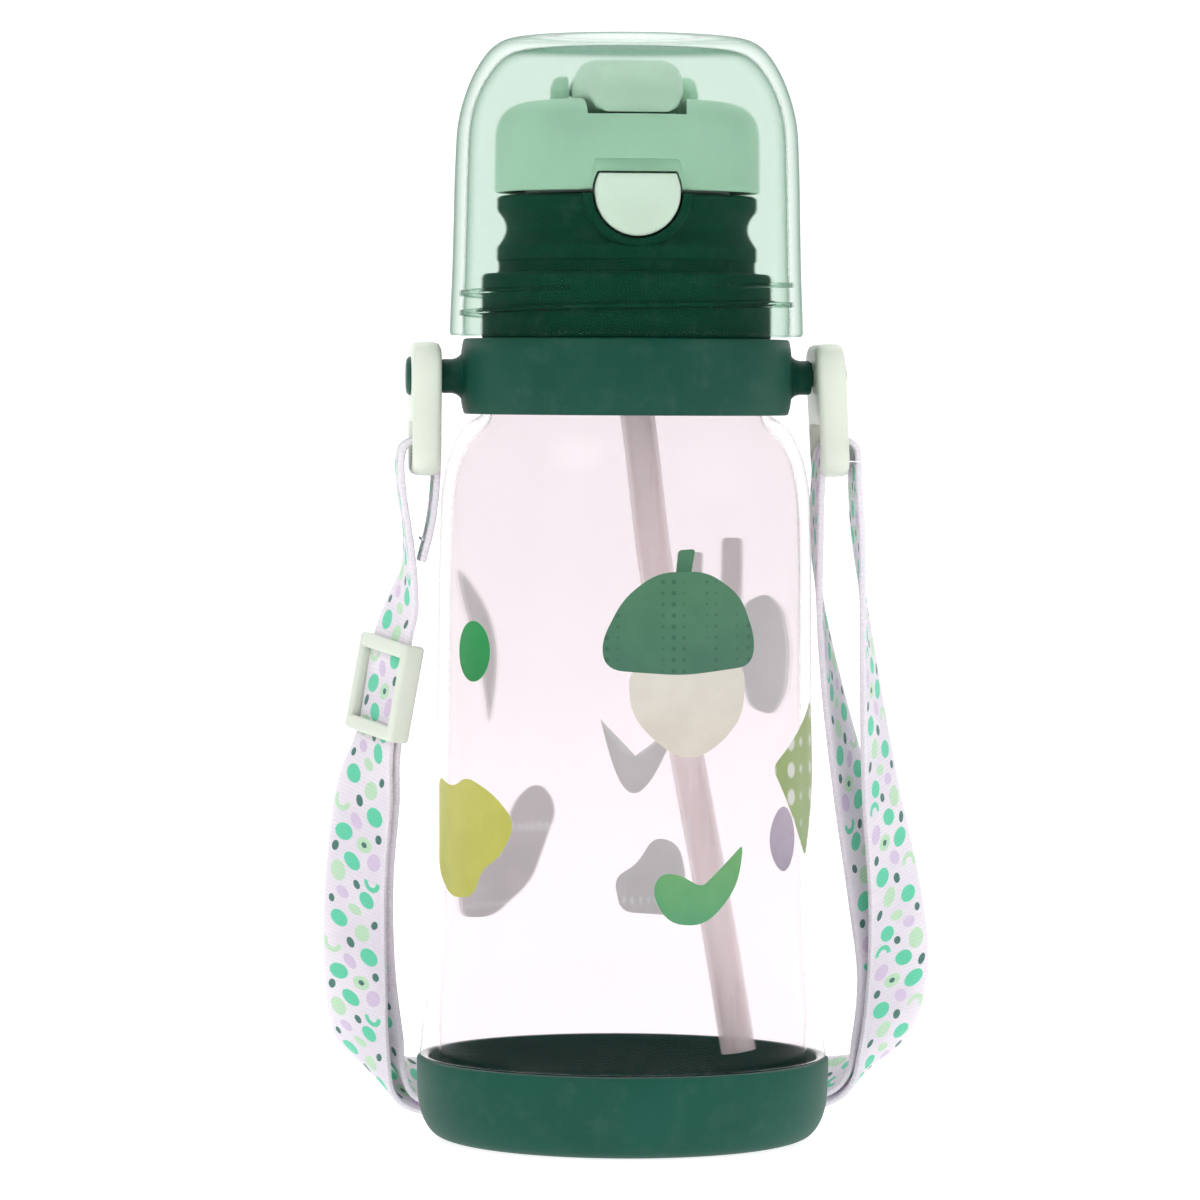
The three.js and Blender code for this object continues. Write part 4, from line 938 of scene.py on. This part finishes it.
def make_loops():
    sage = bpy.data.materials.get("sage_moulding") or moulded("sage_moulding", chosen("sage"), 0.36)
    dark = moulded("rivet_moulding", srgb(20, 76, 62), 0.42, 0.3, gloss=0.25)
    slot_low, slot_high = -15.0, -9.0
    for name, side in (("left", -1), ("right", 1)):
        place = loop_place(side)
        outer = rounded_rectangle(21, -19.2, 6.6, 5.2, 10)
        inner = rounded_rectangle(16.4, slot_low, slot_high, 1.6, 6)
        centre = Vector((0, (slot_low + slot_high) / 2))
        bm = bmesh.new()
        rings = []
        # The frame's section: (outline, inset, height), from the inner edge over the front and back.
        for source, inset, z in (
            (inner, 0.0, -2.0), (inner, -0.5, -2.7), (outer, 1.4, -2.8), (outer, 0.45, -2.4),
            (outer, 0.08, -1.6),
            (outer, 0.0, 0.0), (outer, 0.08, 1.6), (outer, 0.45, 2.4), (outer, 1.4, 2.8),
            (inner, -0.5, 2.7),
            (inner, 0.0, 2.0),
        ):
            ring = []
            for k in range(120):
                p = ray_hit(source, centre, TAU * k / 120)
                way = (centre - p).normalized()
                p = p + way * inset
                if source is inner and p.y < centre.y - 2.0 and z * side < 0:
                    z_here = max(min(z, 0.4), -0.4)
                else:
                    z_here = z
                ring.append(place @ Vector((p.x, p.y, z_here)))
            rings.append(ring)
        lofted(bm, rings, closed=True, caps=False)
        piece("loop_" + name, bm, sage, "loop_" + name, ("strap_loop_" + name,), sharp=50)
        bm = bmesh.new()
        face = LOOP_X + 2.8
        rings = []
        for x, r in ((31.4, 1.65), (face - 0.6, 1.65), (face - 0.6, 3.7), (face + 0.3, 3.7),
                (face + 0.75, 3.3),
                     (face + 0.9, 2.5), (face + 0.9, 1.0)):
            rings.append([(side * x, r * math.cos(TAU * k / 40),
                LUG_Z + r * math.sin(TAU * k / 40)) for k in range(40)])
        lofted(bm, rings)
        piece("rivet_" + name, bm, dark, "lid", ("loop_rivet_" + name,))


# ---- Lid -----------------------------------------------------------------------------------------------
def along_y(outline, front, back):
    """A flat outline drawn in (x, z), as a bar from y = front to y = back."""
    bm = bmesh.new()
    lofted(bm, [[(p.x, y, p.y) for p in outline] for y in (front, back)])
    return bm


def dee(gap, steps=56):
    """The button's outline in (x, z): a round with a flat top."""
    radius, flat = BUTTON_R + gap, 3.7 + gap
    start = math.asin(flat / radius)
    made = []
    for k in range(steps + 1):
        a = math.pi - start + (math.pi + 2 * start) * k / steps
        made.append(Vector((radius * math.cos(a), WAIST_TOP + radius * math.sin(a))))
    return made


def round_outline(radius, x=0.0, z=0.0, steps=56):
    return [Vector((x + radius * math.cos(TAU * k / steps), z + radius * math.sin(TAU * k / steps)))
            for k in range(steps)]


def make_lid():
    bm = bmesh.new()
    turned(bm, [
        (28.8, 141.2), (30, 141.2, 0.3), (30, 154.7), (27.8, 155.2, 0.2), (RING_R, 155.4, 0.1),
        (RING_R, 166.7),
        (27.6, RING_TOP, 0.7), (25.4, RING_TOP, 0.5), (24.8, 168, 0.4), (24.8, 169.9, 0.3),
        (WAIST_R, 170.2, 0.2),
        (WAIST_R, 172.6, 0.5), (23.8, 174.4, 1.2), (GROOVE_R, 176.3, 1.6), (23.8, 178.2, 1.2),
        (WAIST_R, 179.8, 0.6),
        (WAIST_R, 182.1), (24.5, WAIST_TOP, 0.5), (4.4, WAIST_TOP, 0.3), (4.4, 180.2, 0.3),
        (21, 180.2, 0.6),
        (21, 165.4, 0.6), (25.8, 165.4, 0.6), (25.8, 154.0, 0.4), (28.8, 154.0, 0.4),
    ], closed=True)
    rings = []
    for y, r in ((-17, 10.6), (-24.2, 10.4), (-24.9, 10.2), (-25.4, 9.7), (-25.6, 9.1)):
        rings.append([(p.x, y, p.y) for p in round_outline(r, 0, WAIST_TOP, 96)])
    boss = lofted(bmesh.new(), rings)
    below = boxed(bmesh.new(), (30, 20, 14), (0, -22, WAIST_TOP - 7.1))
    bm = joined(bm, joined(boss, below, "INTERSECT"), "UNION")
    bm = joined(bm, along_y(round_outline(BUTTON_R + 0.5, 0, WAIST_TOP), -31.5, -19.5), "DIFFERENCE")
    for y, r in ((-11.5, 4.0), (11.5, 2.2)):
        hole = rod(bmesh.new(), r, (0, y, 176), (0, y, 188), 40)
        bm = joined(bm, hole, "DIFFERENCE")
    for side in (-1, 1):
        x = side * 7.4
        knuckle = rod(bmesh.new(), 2.5, (x - 1.8, HINGE_Y, HINGE_Z), (x + 1.8, HINGE_Y, HINGE_Z), 40)
        bm = joined(bm, knuckle, "UNION")
        bm = joined(bm, boxed(bmesh.new(), (3.6, 4.4, 5.6), (x, HINGE_Y - 2.6, WAIST_TOP - 2)), "UNION")
    bm = joined(bm, rod(bmesh.new(), 3.1, (-5.5, HINGE_Y, HINGE_Z), (5.5, HINGE_Y, HINGE_Z), 40),
        "DIFFERENCE")
    bm = joined(bm, rod(bmesh.new(), 1.45, (-12, HINGE_Y, HINGE_Z), (12, HINGE_Y, HINGE_Z), 32),
        "DIFFERENCE")
    ridge(bm, RING_R - 0.1, 1.2, RING_Z + 3, 1.5)
    # The lid is the collar's dark green plastic; its darker green is painted shade for the part under the
    # cover.
    dark = moulded("lid_moulding", chosen("shaded_lid_green"), 0.6, 0.4, gloss=0.05)
    piece("lid_shell", bm, dark, "lid", ("lid_body",), bevel=0.18)


def tongue(gap, front, back):
    """The flap's outline in (x, y), widest at its hinge."""
    wide, tip = 10.5 + gap, 8.1 + gap
    return softened([
        (-wide, back), (-wide, -4, 3), (-tip - 0.5, front + 3, 2), (-tip + 0.6, front, 2.6),
        (tip - 0.6, front, 2.6),
        (tip + 0.5, front + 3, 2), (wide, -4, 3), (wide, back),
    ], 8)


def make_cap():
    bm = bmesh.new()
    roof = POCKET_Z - 1.8
    turned(bm, [
        (23.8, CAP_Z + 0.1), (25.3, CAP_Z, 0.3), (CAP_R, CAP_Z + 0.4, 0.3), (25.5, 195, 1.6),
        (24.7, 197.7, 1.6),
        (22.9, 199.6, 1.6), (20.3, 200.6, 1.6), (16, 201.05, 2), (4.9, CAP_TOP, 0.4), (4.9, roof, 0.4),
        (21.4, roof, 1.6),
        (23.6, roof - 2.6, 1.6), (23.6, CAP_Z + 0.5, 0.2),
    ], closed=True)
    rib = turned(bmesh.new(), [(17.9, CAP_Z + 1.6), (19.3, CAP_Z + 1.6), (19.3, roof + 0.3),
        (17.9, roof + 0.3)], closed=True)
    bm = joined(bm, rib, "UNION")
    pocket = bmesh.new()
    outline = tongue(0.45, -30, 8.5 + 5.2)
    lofted(pocket, [[(p.x, p.y, z) for p in outline] for z in (POCKET_Z, POCKET_Z + 8)])
    bm = joined(bm, pocket, "DIFFERENCE")
    bm = joined(bm, along_y(dee(0.45), -31, -19.6), "DIFFERENCE")
    # Shallow bezel that slopes in above the button.
    bezel = softened([(-9.6, 183), (9.6, 183), (8.0, 189.1, 0.9), (-8.0, 189.1, 0.9)], 6)
    bm = joined(bm, along_y(bezel, -31, -23.95), "DIFFERENCE")
    y, z = FLAP_PIN
    for side in (-1, 1):
        x0, x1 = side * 11.0, side * 14.2
        rings = []
        for x, shrink, drop in ((x0, 0.2, 0), (x0 + side * 0.25, 0, 0), (x1 - side * 1.5, 0, 0),
                (x1 - side * 0.4, 0.5, 0.2),
                                (x1, 1.3, 0.7)):
            ring = []
            for k in range(40):
                a = math.pi * k / 39
                r = 2.9 - shrink
                ring.append((x, y + (r + 1.6 * (1 - math.sin(a))) * math.cos(a),
                    z - drop + r * math.sin(a)))
            ring += [(x, y - 4.6 + shrink, 199.4), (x, y + 4.6 - shrink, 199.4)]
            rings.append(ring)
        bm = joined(bm, lofted(bmesh.new(), rings), "UNION")
    bm = joined(bm, rod(bmesh.new(), 1.2, (-20, y, z), (20, y, z), 32), "DIFFERENCE")
    bm = joined(bm, boxed(bmesh.new(), (19.4, 8, 8), (0, HINGE_Y - 0.6, HINGE_Z - 0.2)), "DIFFERENCE")
    for side in (-1, 1):
        x = side * 3.7
        bm = joined(bm, boxed(bmesh.new(), (2.8, 2.6, 6.5), (x, HINGE_Y - 2, HINGE_Z + 2.4)), "UNION")
        bm = joined(bm, rod(bmesh.new(), 2.5, (x - 1.4, HINGE_Y, HINGE_Z), (x + 1.4, HINGE_Y, HINGE_Z), 40),
            "UNION")
    bm = joined(bm, rod(bmesh.new(), 1.15, (-8, HINGE_Y, HINGE_Z), (8, HINGE_Y, HINGE_Z), 32), "DIFFERENCE")
    mint = moulded("light_moulding", chosen("light_green"), 0.46, 0.3, subsurface=0.12, gloss=0.2)
    piece("cap_shell", bm, mint, "flip_cap", ("flip_cap",), bevel=0.3)


def make_flap():
    """The tongue over the mouthpiece: crowned on top, thinner towards its lip, hollow underneath."""
    rings = []
    top = [
        (-23.2, 199.6), (-22.8, 200.9), (-21.6, 202.6), (-19.4, 204.6), (-16, 206.4), (-12, 207.7),
        (-7, 208.6), (-1, 208.9),
        (4, 208.4), (8, 207.4), (10.4, 206.3), (12, 204.9), (12.6, 203.2),
    ]
    for y, z in top:
        t = (y + 23.2) / 19.2
        half = min(10.5, 8.1 + 2.4 * max(0.0, min(1.0, t)))
        if y < -21:
            half -= 1.6 * ((-21 - y) / 2.2) ** 1.6
        low = 198.0 if y < 4 else 198.0 + (y - 4) * 0.5
        crown = min(5.2, (z - low) * 0.72)
        ring = rounded_rectangle(2 * half, low, z, crown, 8)
        rings.append([(p.x, y, max(p.y, low)) for p in ring])
    bm = lofted(bmesh.new(), rings)
    hollow = boxed(bmesh.new(), (14, 12.6, 12), (0, -3.2, 200.0), 1.0)
    bm = joined(bm, hollow, "DIFFERENCE")
    bm = joined(bm, rod(bmesh.new(), 1.45, (-20, *FLAP_PIN), (20, *FLAP_PIN), 32), "DIFFERENCE")
    # The flap is the flip cap's plastic; its lighter green is a painted highlight, the cap's green as if lit
    # from above.
    pale = moulded("pale_moulding", chosen("painted_lit_cap_green"), 0.36, 0.22, subsurface=0.15, gloss=0.35)
    piece("flap", bm, pale, "spout_flap", ("spout_flap",), bevel=0.2, sharp=46)


def make_button():
    bm = bmesh.new()
    rings = []
    for y, gap in ((-21.6, 0), (-25.2, 0), (-25.6, -0.12), (-25.85, -0.42), (-25.97, -0.9), (-26.0, -1.8)):
        rings.append([(p.x, y, p.y) for p in dee(gap)])
    for shrink in (0.6, 0.3):
        rings.append([(p.x * shrink, -26.0 + 0.12 * (1 - shrink),
            WAIST_TOP - 1.6 + (p.y - WAIST_TOP + 1.6) * shrink)
                      for p in dee(-1.8)])
    lofted(bm, rings)
    bm = joined(bm, rod(bmesh.new(), 2.7, (0, -24.4, 179.6), (0, -20, 179.6), 32), "DIFFERENCE")
    cream = moulded("cream_moulding", chosen("cream"), 0.34, 0.25, subsurface=0.1, gloss=0.4)
    piece("button", bm, cream, "release_button", ("release_button",))


def make_cover():
    outer = [
        (33.9, COVER_Z, 0.3), (34.2, COVER_Z + 0.5, 0.3), (34.1, 160, 1), (33.8, 167, 3), (33.6, 175, 4),
        (33.4, 186, 4),
        (33.0, 195.6, 3), (32.2, 199.6, 2), (31.0, 203.4, 2), (29.4, 207, 2), (27, 210.6, 2),
        (24.4, 212.6, 1.8),
        (21.2, 213.3, 2), (12, COVER_TOP - 0.1, 4), (0, COVER_TOP),
    ]
    inner = [
        (0, 211.3), (12, 211.2, 4), (20.4, 210.9, 2), (23.2, 210.2, 1.8), (25.4, 208.4, 2),
        (27.6, 205.4, 2),
        (29.2, 202.2, 2), (30.3, 198.8, 2), (30.9, 195, 3), (31.2, 186, 4), (31.4, 175, 4), (31.6, 167, 3),
        (31.9, 160, 1),
        (31.9, COVER_Z + 0.4, 0.3), (32.2, COVER_Z, 0.3), (33.2, COVER_Z),
    ]
    bm = bmesh.new()
    turned(bm, [(33.2, COVER_Z)] + outer)
    turned(bm, inner)
    bmesh.ops.remove_doubles(bm, verts=bm.verts, dist=1e-3)
    # One thread, broken off at the front and at the back.
    for first, last in ((116, 248), (296, 424), (476, 608), (656, 784)):
        ridge(bm, 32.0, -0.9, 160.0 + 3.8 * (first - 180) / 360, (last - first) / 360, half=0.5,
            turn=math.radians(first))
    green = clear("clear_cover", srgb(176, 206, 188), srgb(12, 78, 52), 0.4, (0.45, 0.86))
    piece("cover", bm, green, "dust_cover", ("dust_cover",))


# ---- Straw and what is inside --------------------------------------------------------------------------
STRAW_ROUTE = [
    (0, 0, 165.6), (0, 0, 158), (0.6, 0, 150), (2.6, -0.3, 137.5), (5.8, -0.8, 111.5), (11.6, -1.8, 77),
    (18.1, -2.8, 42), (22.3, -3.4, 17),
]


def silicone(name, colour, roughness=0.5):
    return moulded(name, colour, roughness, 0.2, rubber=True, subsurface=0.3)


def make_straw():
    line = [Vector(p[:3]) for p in spline(STRAW_ROUTE, 12)]
    rings = {3.35: [], 2.5: []}
    for i, centre in enumerate(line):
        way = (line[min(i + 1, len(line) - 1)] - line[max(i - 1, 0)]).normalized()
        side = way.cross(Vector((0, 1, 0))).normalized()
        other = way.cross(side)
        for radius, made in rings.items():
            made.append([centre + (side * math.cos(TAU * k / 36) + other * math.sin(TAU * k / 36)) * radius
                         for k in range(36)])
    bm = lofted(bmesh.new(), rings[3.35] + rings[2.5][::-1], closed=True, caps=False)
    g = Graph("straw_plastic")
    where = g.place()
    flow = g.noise(g.node("Mapping", Vector=where, Scale=(1, 1, 0.1)), 400.0, 3.0)
    tint = g.mix(flow.between(0.3, 0.7), srgb(252, 240, 239), srgb(255, 248, 247))
    look = g.surface(g.principled(Base_Color=tint, Roughness=flow.scaled(0.22, 0.34), Alpha=0.5,
                                  Normal=g.bump(flow, 0.15, 0.00005), Subsurface_Weight=0.2,
                                  Subsurface_Radius=(0.002, 0.0014, 0.0014), Subsurface_Scale=0.6))
    piece("drinking_straw", bm, look, "lid", ("straw",))


def make_inside():
    """Seals, valves and springs: small turned pieces, and better finishes on the CAD's pins and springs."""
    white = silicone("white_silicone", srgb(236, 240, 236))
    rings = (
        ("neck_seal", "lid_seal", "lid", [(26.0, 152.3, 0.3), (28.3, 152.3, 0.3), (28.3, 153.7, 0.3),
            (26.0, 153.7, 0.3)]),
        ("flip_seal", "cap_seal", "flip_cap", [(17.5, 182.9, 0.3), (19.7, 182.9, 0.3), (19.7, 184.5, 0.3),
            (17.5, 184.5, 0.3)]),
        ("connector", "straw_connector", "lid", [
            (3.65, 156.6, 0.2), (4.95, 156.6, 0.3), (4.95, 178.7, 0.4), (7, 178.7, 0.4), (7, 179.9, 0.4),
            (4.1, 179.9, 0.2),
            (4.1, 183, 0.3), (2.5, 183, 0.2), (2.5, 166.1, 0.2), (3.65, 166.1, 0.2)]),
        ("spout", "mouthpiece", "flip_cap", [
            (2.5, 183.3, 0.2), (3.8, 183.3, 0.3), (3.8, 192.6, 0.5), (7.4, 193.8, 0.5), (7.4, 195.5, 0.4),
            (4.6, 195.5, 0.4),
            (4.6, 200, 0.8), (3.9, 201.8, 0.9), (2.5, 201.8, 0.4)]),
    )
    for name, node, body, profile in rings:
        piece(name, turned(bmesh.new(), profile, 72, closed=True), white, body, (node,))
    wire = steel("spring_steel")
    for node in ("cap_hinge_pin", "cap_spring", "flap_hinge_pin", "button_spring"):
        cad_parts[node].data.materials[0] = wire
    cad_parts["vent_valve"].data.materials[0] = white


# ---- Operators -----------------------------------------------------------------------------------------
class BOTTLE_PG_settings(bpy.types.PropertyGroup):
    """Sizes and colours that a user would change"""

    distance: bpy.props.FloatProperty(
        name="Camera distance", description="From the bottle's axis to the camera", default=1.17, min=0.3,
        max=5.0, unit="LENGTH")
    dark_green: bpy.props.FloatVectorProperty(
        name="Dark green", description="Plastic of the collar", default=srgb(14, 72, 58), min=0.0, max=1.0,
        subtype="COLOR")
    # The collar's green darkened for the lid: painted shade under the cover.
    shaded_lid_green: bpy.props.FloatVectorProperty(
        name="Lid green", description="Plastic of the lid", default=srgb(10, 66, 50), min=0.0, max=1.0,
        subtype="COLOR")
    boot_green: bpy.props.FloatVectorProperty(
        name="Boot green", description="Soft rubber of the boot", default=srgb(24, 82, 68), min=0.0,
        max=1.0,
        subtype="COLOR")
    light_green: bpy.props.FloatVectorProperty(
        name="Light green", description="Plastic of the flip cap", default=srgb(186, 216, 196), min=0.0,
        max=1.0,
        subtype="COLOR")
    # The flip cap's green lightened for the spout flap: a painted highlight on its top.
    painted_lit_cap_green: bpy.props.FloatVectorProperty(
        name="Pale green", description="Plastic of the spout flap", default=srgb(208, 226, 212), min=0.0,
        max=1.0,
        subtype="COLOR")
    cream: bpy.props.FloatVectorProperty(
        name="Cream", description="Plastic of the release button", default=srgb(250, 251, 243), min=0.0,
        max=1.0,
        subtype="COLOR")
    sage: bpy.props.FloatVectorProperty(
        name="Sage", description="Plastic of the strap loops and the adjuster", default=srgb(217, 225, 211),
        min=0.0, max=1.0,
        subtype="COLOR")


class BOTTLE_OT_stage(bpy.types.Operator):
    """Add the white sweep, the lights and the camera"""

    bl_idname = "bottle.stage"
    bl_label = "Stage"
    bl_options = {"REGISTER", "UNDO"}

    def execute(self, context):
        make_stage()
        return {"FINISHED"}


class BOTTLE_OT_strap(bpy.types.Operator):
    """Add the webbing, its stitches and the adjuster"""

    bl_idname = "bottle.strap"
    bl_label = "Strap"
    bl_options = {"REGISTER", "UNDO"}

    def execute(self, context):
        make_strap()
        return {"FINISHED"}


class BOTTLE_OT_boot(bpy.types.Operator):
    """Add the soft boot under the bottle"""

    bl_idname = "bottle.boot"
    bl_label = "Boot"
    bl_options = {"REGISTER", "UNDO"}

    def execute(self, context):
        make_boot()
        return {"FINISHED"}


class BOTTLE_OT_bottle(bpy.types.Operator):
    """Add the clear bottle"""

    bl_idname = "bottle.bottle"
    bl_label = "Bottle"
    bl_options = {"REGISTER", "UNDO"}

    def execute(self, context):
        make_body()
        return {"FINISHED"}


class BOTTLE_OT_prints(bpy.types.Operator):
    """Add the printed shapes on the bottle"""

    bl_idname = "bottle.prints"
    bl_label = "Prints"
    bl_options = {"REGISTER", "UNDO"}

    def execute(self, context):
        make_prints()
        return {"FINISHED"}


class BOTTLE_OT_collar(bpy.types.Operator):
    """Add the collar with its lugs"""

    bl_idname = "bottle.collar"
    bl_label = "Collar"
    bl_options = {"REGISTER", "UNDO"}

    def execute(self, context):
        make_collar()
        return {"FINISHED"}


class BOTTLE_OT_loops(bpy.types.Operator):
    """Add the strap loops and their rivets"""

    bl_idname = "bottle.loops"
    bl_label = "Loops"
    bl_options = {"REGISTER", "UNDO"}

    def execute(self, context):
        make_loops()
        return {"FINISHED"}


class BOTTLE_OT_lid(bpy.types.Operator):
    """Add the lid with its ring and waist"""

    bl_idname = "bottle.lid"
    bl_label = "Lid"
    bl_options = {"REGISTER", "UNDO"}

    def execute(self, context):
        make_lid()
        return {"FINISHED"}


class BOTTLE_OT_cap(bpy.types.Operator):
    """Add the flip cap"""

    bl_idname = "bottle.cap"
    bl_label = "Cap"
    bl_options = {"REGISTER", "UNDO"}

    def execute(self, context):
        make_cap()
        return {"FINISHED"}


class BOTTLE_OT_flap(bpy.types.Operator):
    """Add the spout flap"""

    bl_idname = "bottle.flap"
    bl_label = "Flap"
    bl_options = {"REGISTER", "UNDO"}

    def execute(self, context):
        make_flap()
        return {"FINISHED"}


class BOTTLE_OT_button(bpy.types.Operator):
    """Add the release button"""

    bl_idname = "bottle.button"
    bl_label = "Button"
    bl_options = {"REGISTER", "UNDO"}

    def execute(self, context):
        make_button()
        return {"FINISHED"}


class BOTTLE_OT_cover(bpy.types.Operator):
    """Add the clear dust cover"""

    bl_idname = "bottle.cover"
    bl_label = "Cover"
    bl_options = {"REGISTER", "UNDO"}

    def execute(self, context):
        make_cover()
        return {"FINISHED"}


class BOTTLE_OT_straw(bpy.types.Operator):
    """Add the straw"""

    bl_idname = "bottle.straw"
    bl_label = "Straw"
    bl_options = {"REGISTER", "UNDO"}

    def execute(self, context):
        make_straw()
        return {"FINISHED"}


class BOTTLE_OT_inside(bpy.types.Operator):
    """Add the seals, and finish the pins and springs"""

    bl_idname = "bottle.inside"
    bl_label = "Inside"
    bl_options = {"REGISTER", "UNDO"}

    def execute(self, context):
        make_inside()
        return {"FINISHED"}


OPERATORS = (
    BOTTLE_OT_stage, BOTTLE_OT_strap, BOTTLE_OT_boot, BOTTLE_OT_bottle, BOTTLE_OT_prints,
    BOTTLE_OT_collar, BOTTLE_OT_loops, BOTTLE_OT_lid, BOTTLE_OT_cap, BOTTLE_OT_flap,
    BOTTLE_OT_button, BOTTLE_OT_cover, BOTTLE_OT_straw, BOTTLE_OT_inside,
)


class BOTTLE_PT_build(bpy.types.Panel):
    """The bottle's pieces"""

    bl_label = "Kids water bottle"
    bl_idname = "BOTTLE_PT_build"
    bl_space_type = "VIEW_3D"
    bl_region_type = "UI"
    bl_category = "Bottle"

    def draw(self, context):
        for key in BOTTLE_PG_settings.__annotations__:
            self.layout.prop(context.scene.bottle, key)
        for made in OPERATORS:
            self.layout.operator(made.bl_idname)


CLASSES = (BOTTLE_PG_settings, *OPERATORS, BOTTLE_PT_build)


def register():
    for made in CLASSES:
        bpy.utils.register_class(made)
    bpy.types.Scene.bottle = bpy.props.PointerProperty(type=BOTTLE_PG_settings)


def unregister():
    del bpy.types.Scene.bottle
    for made in reversed(CLASSES):
        bpy.utils.unregister_class(made)


def main():
    register()
    for made in OPERATORS:
        getattr(bpy.ops.bottle, made.bl_idname.split(".")[1])()


if __name__ == "__main__":
    main()
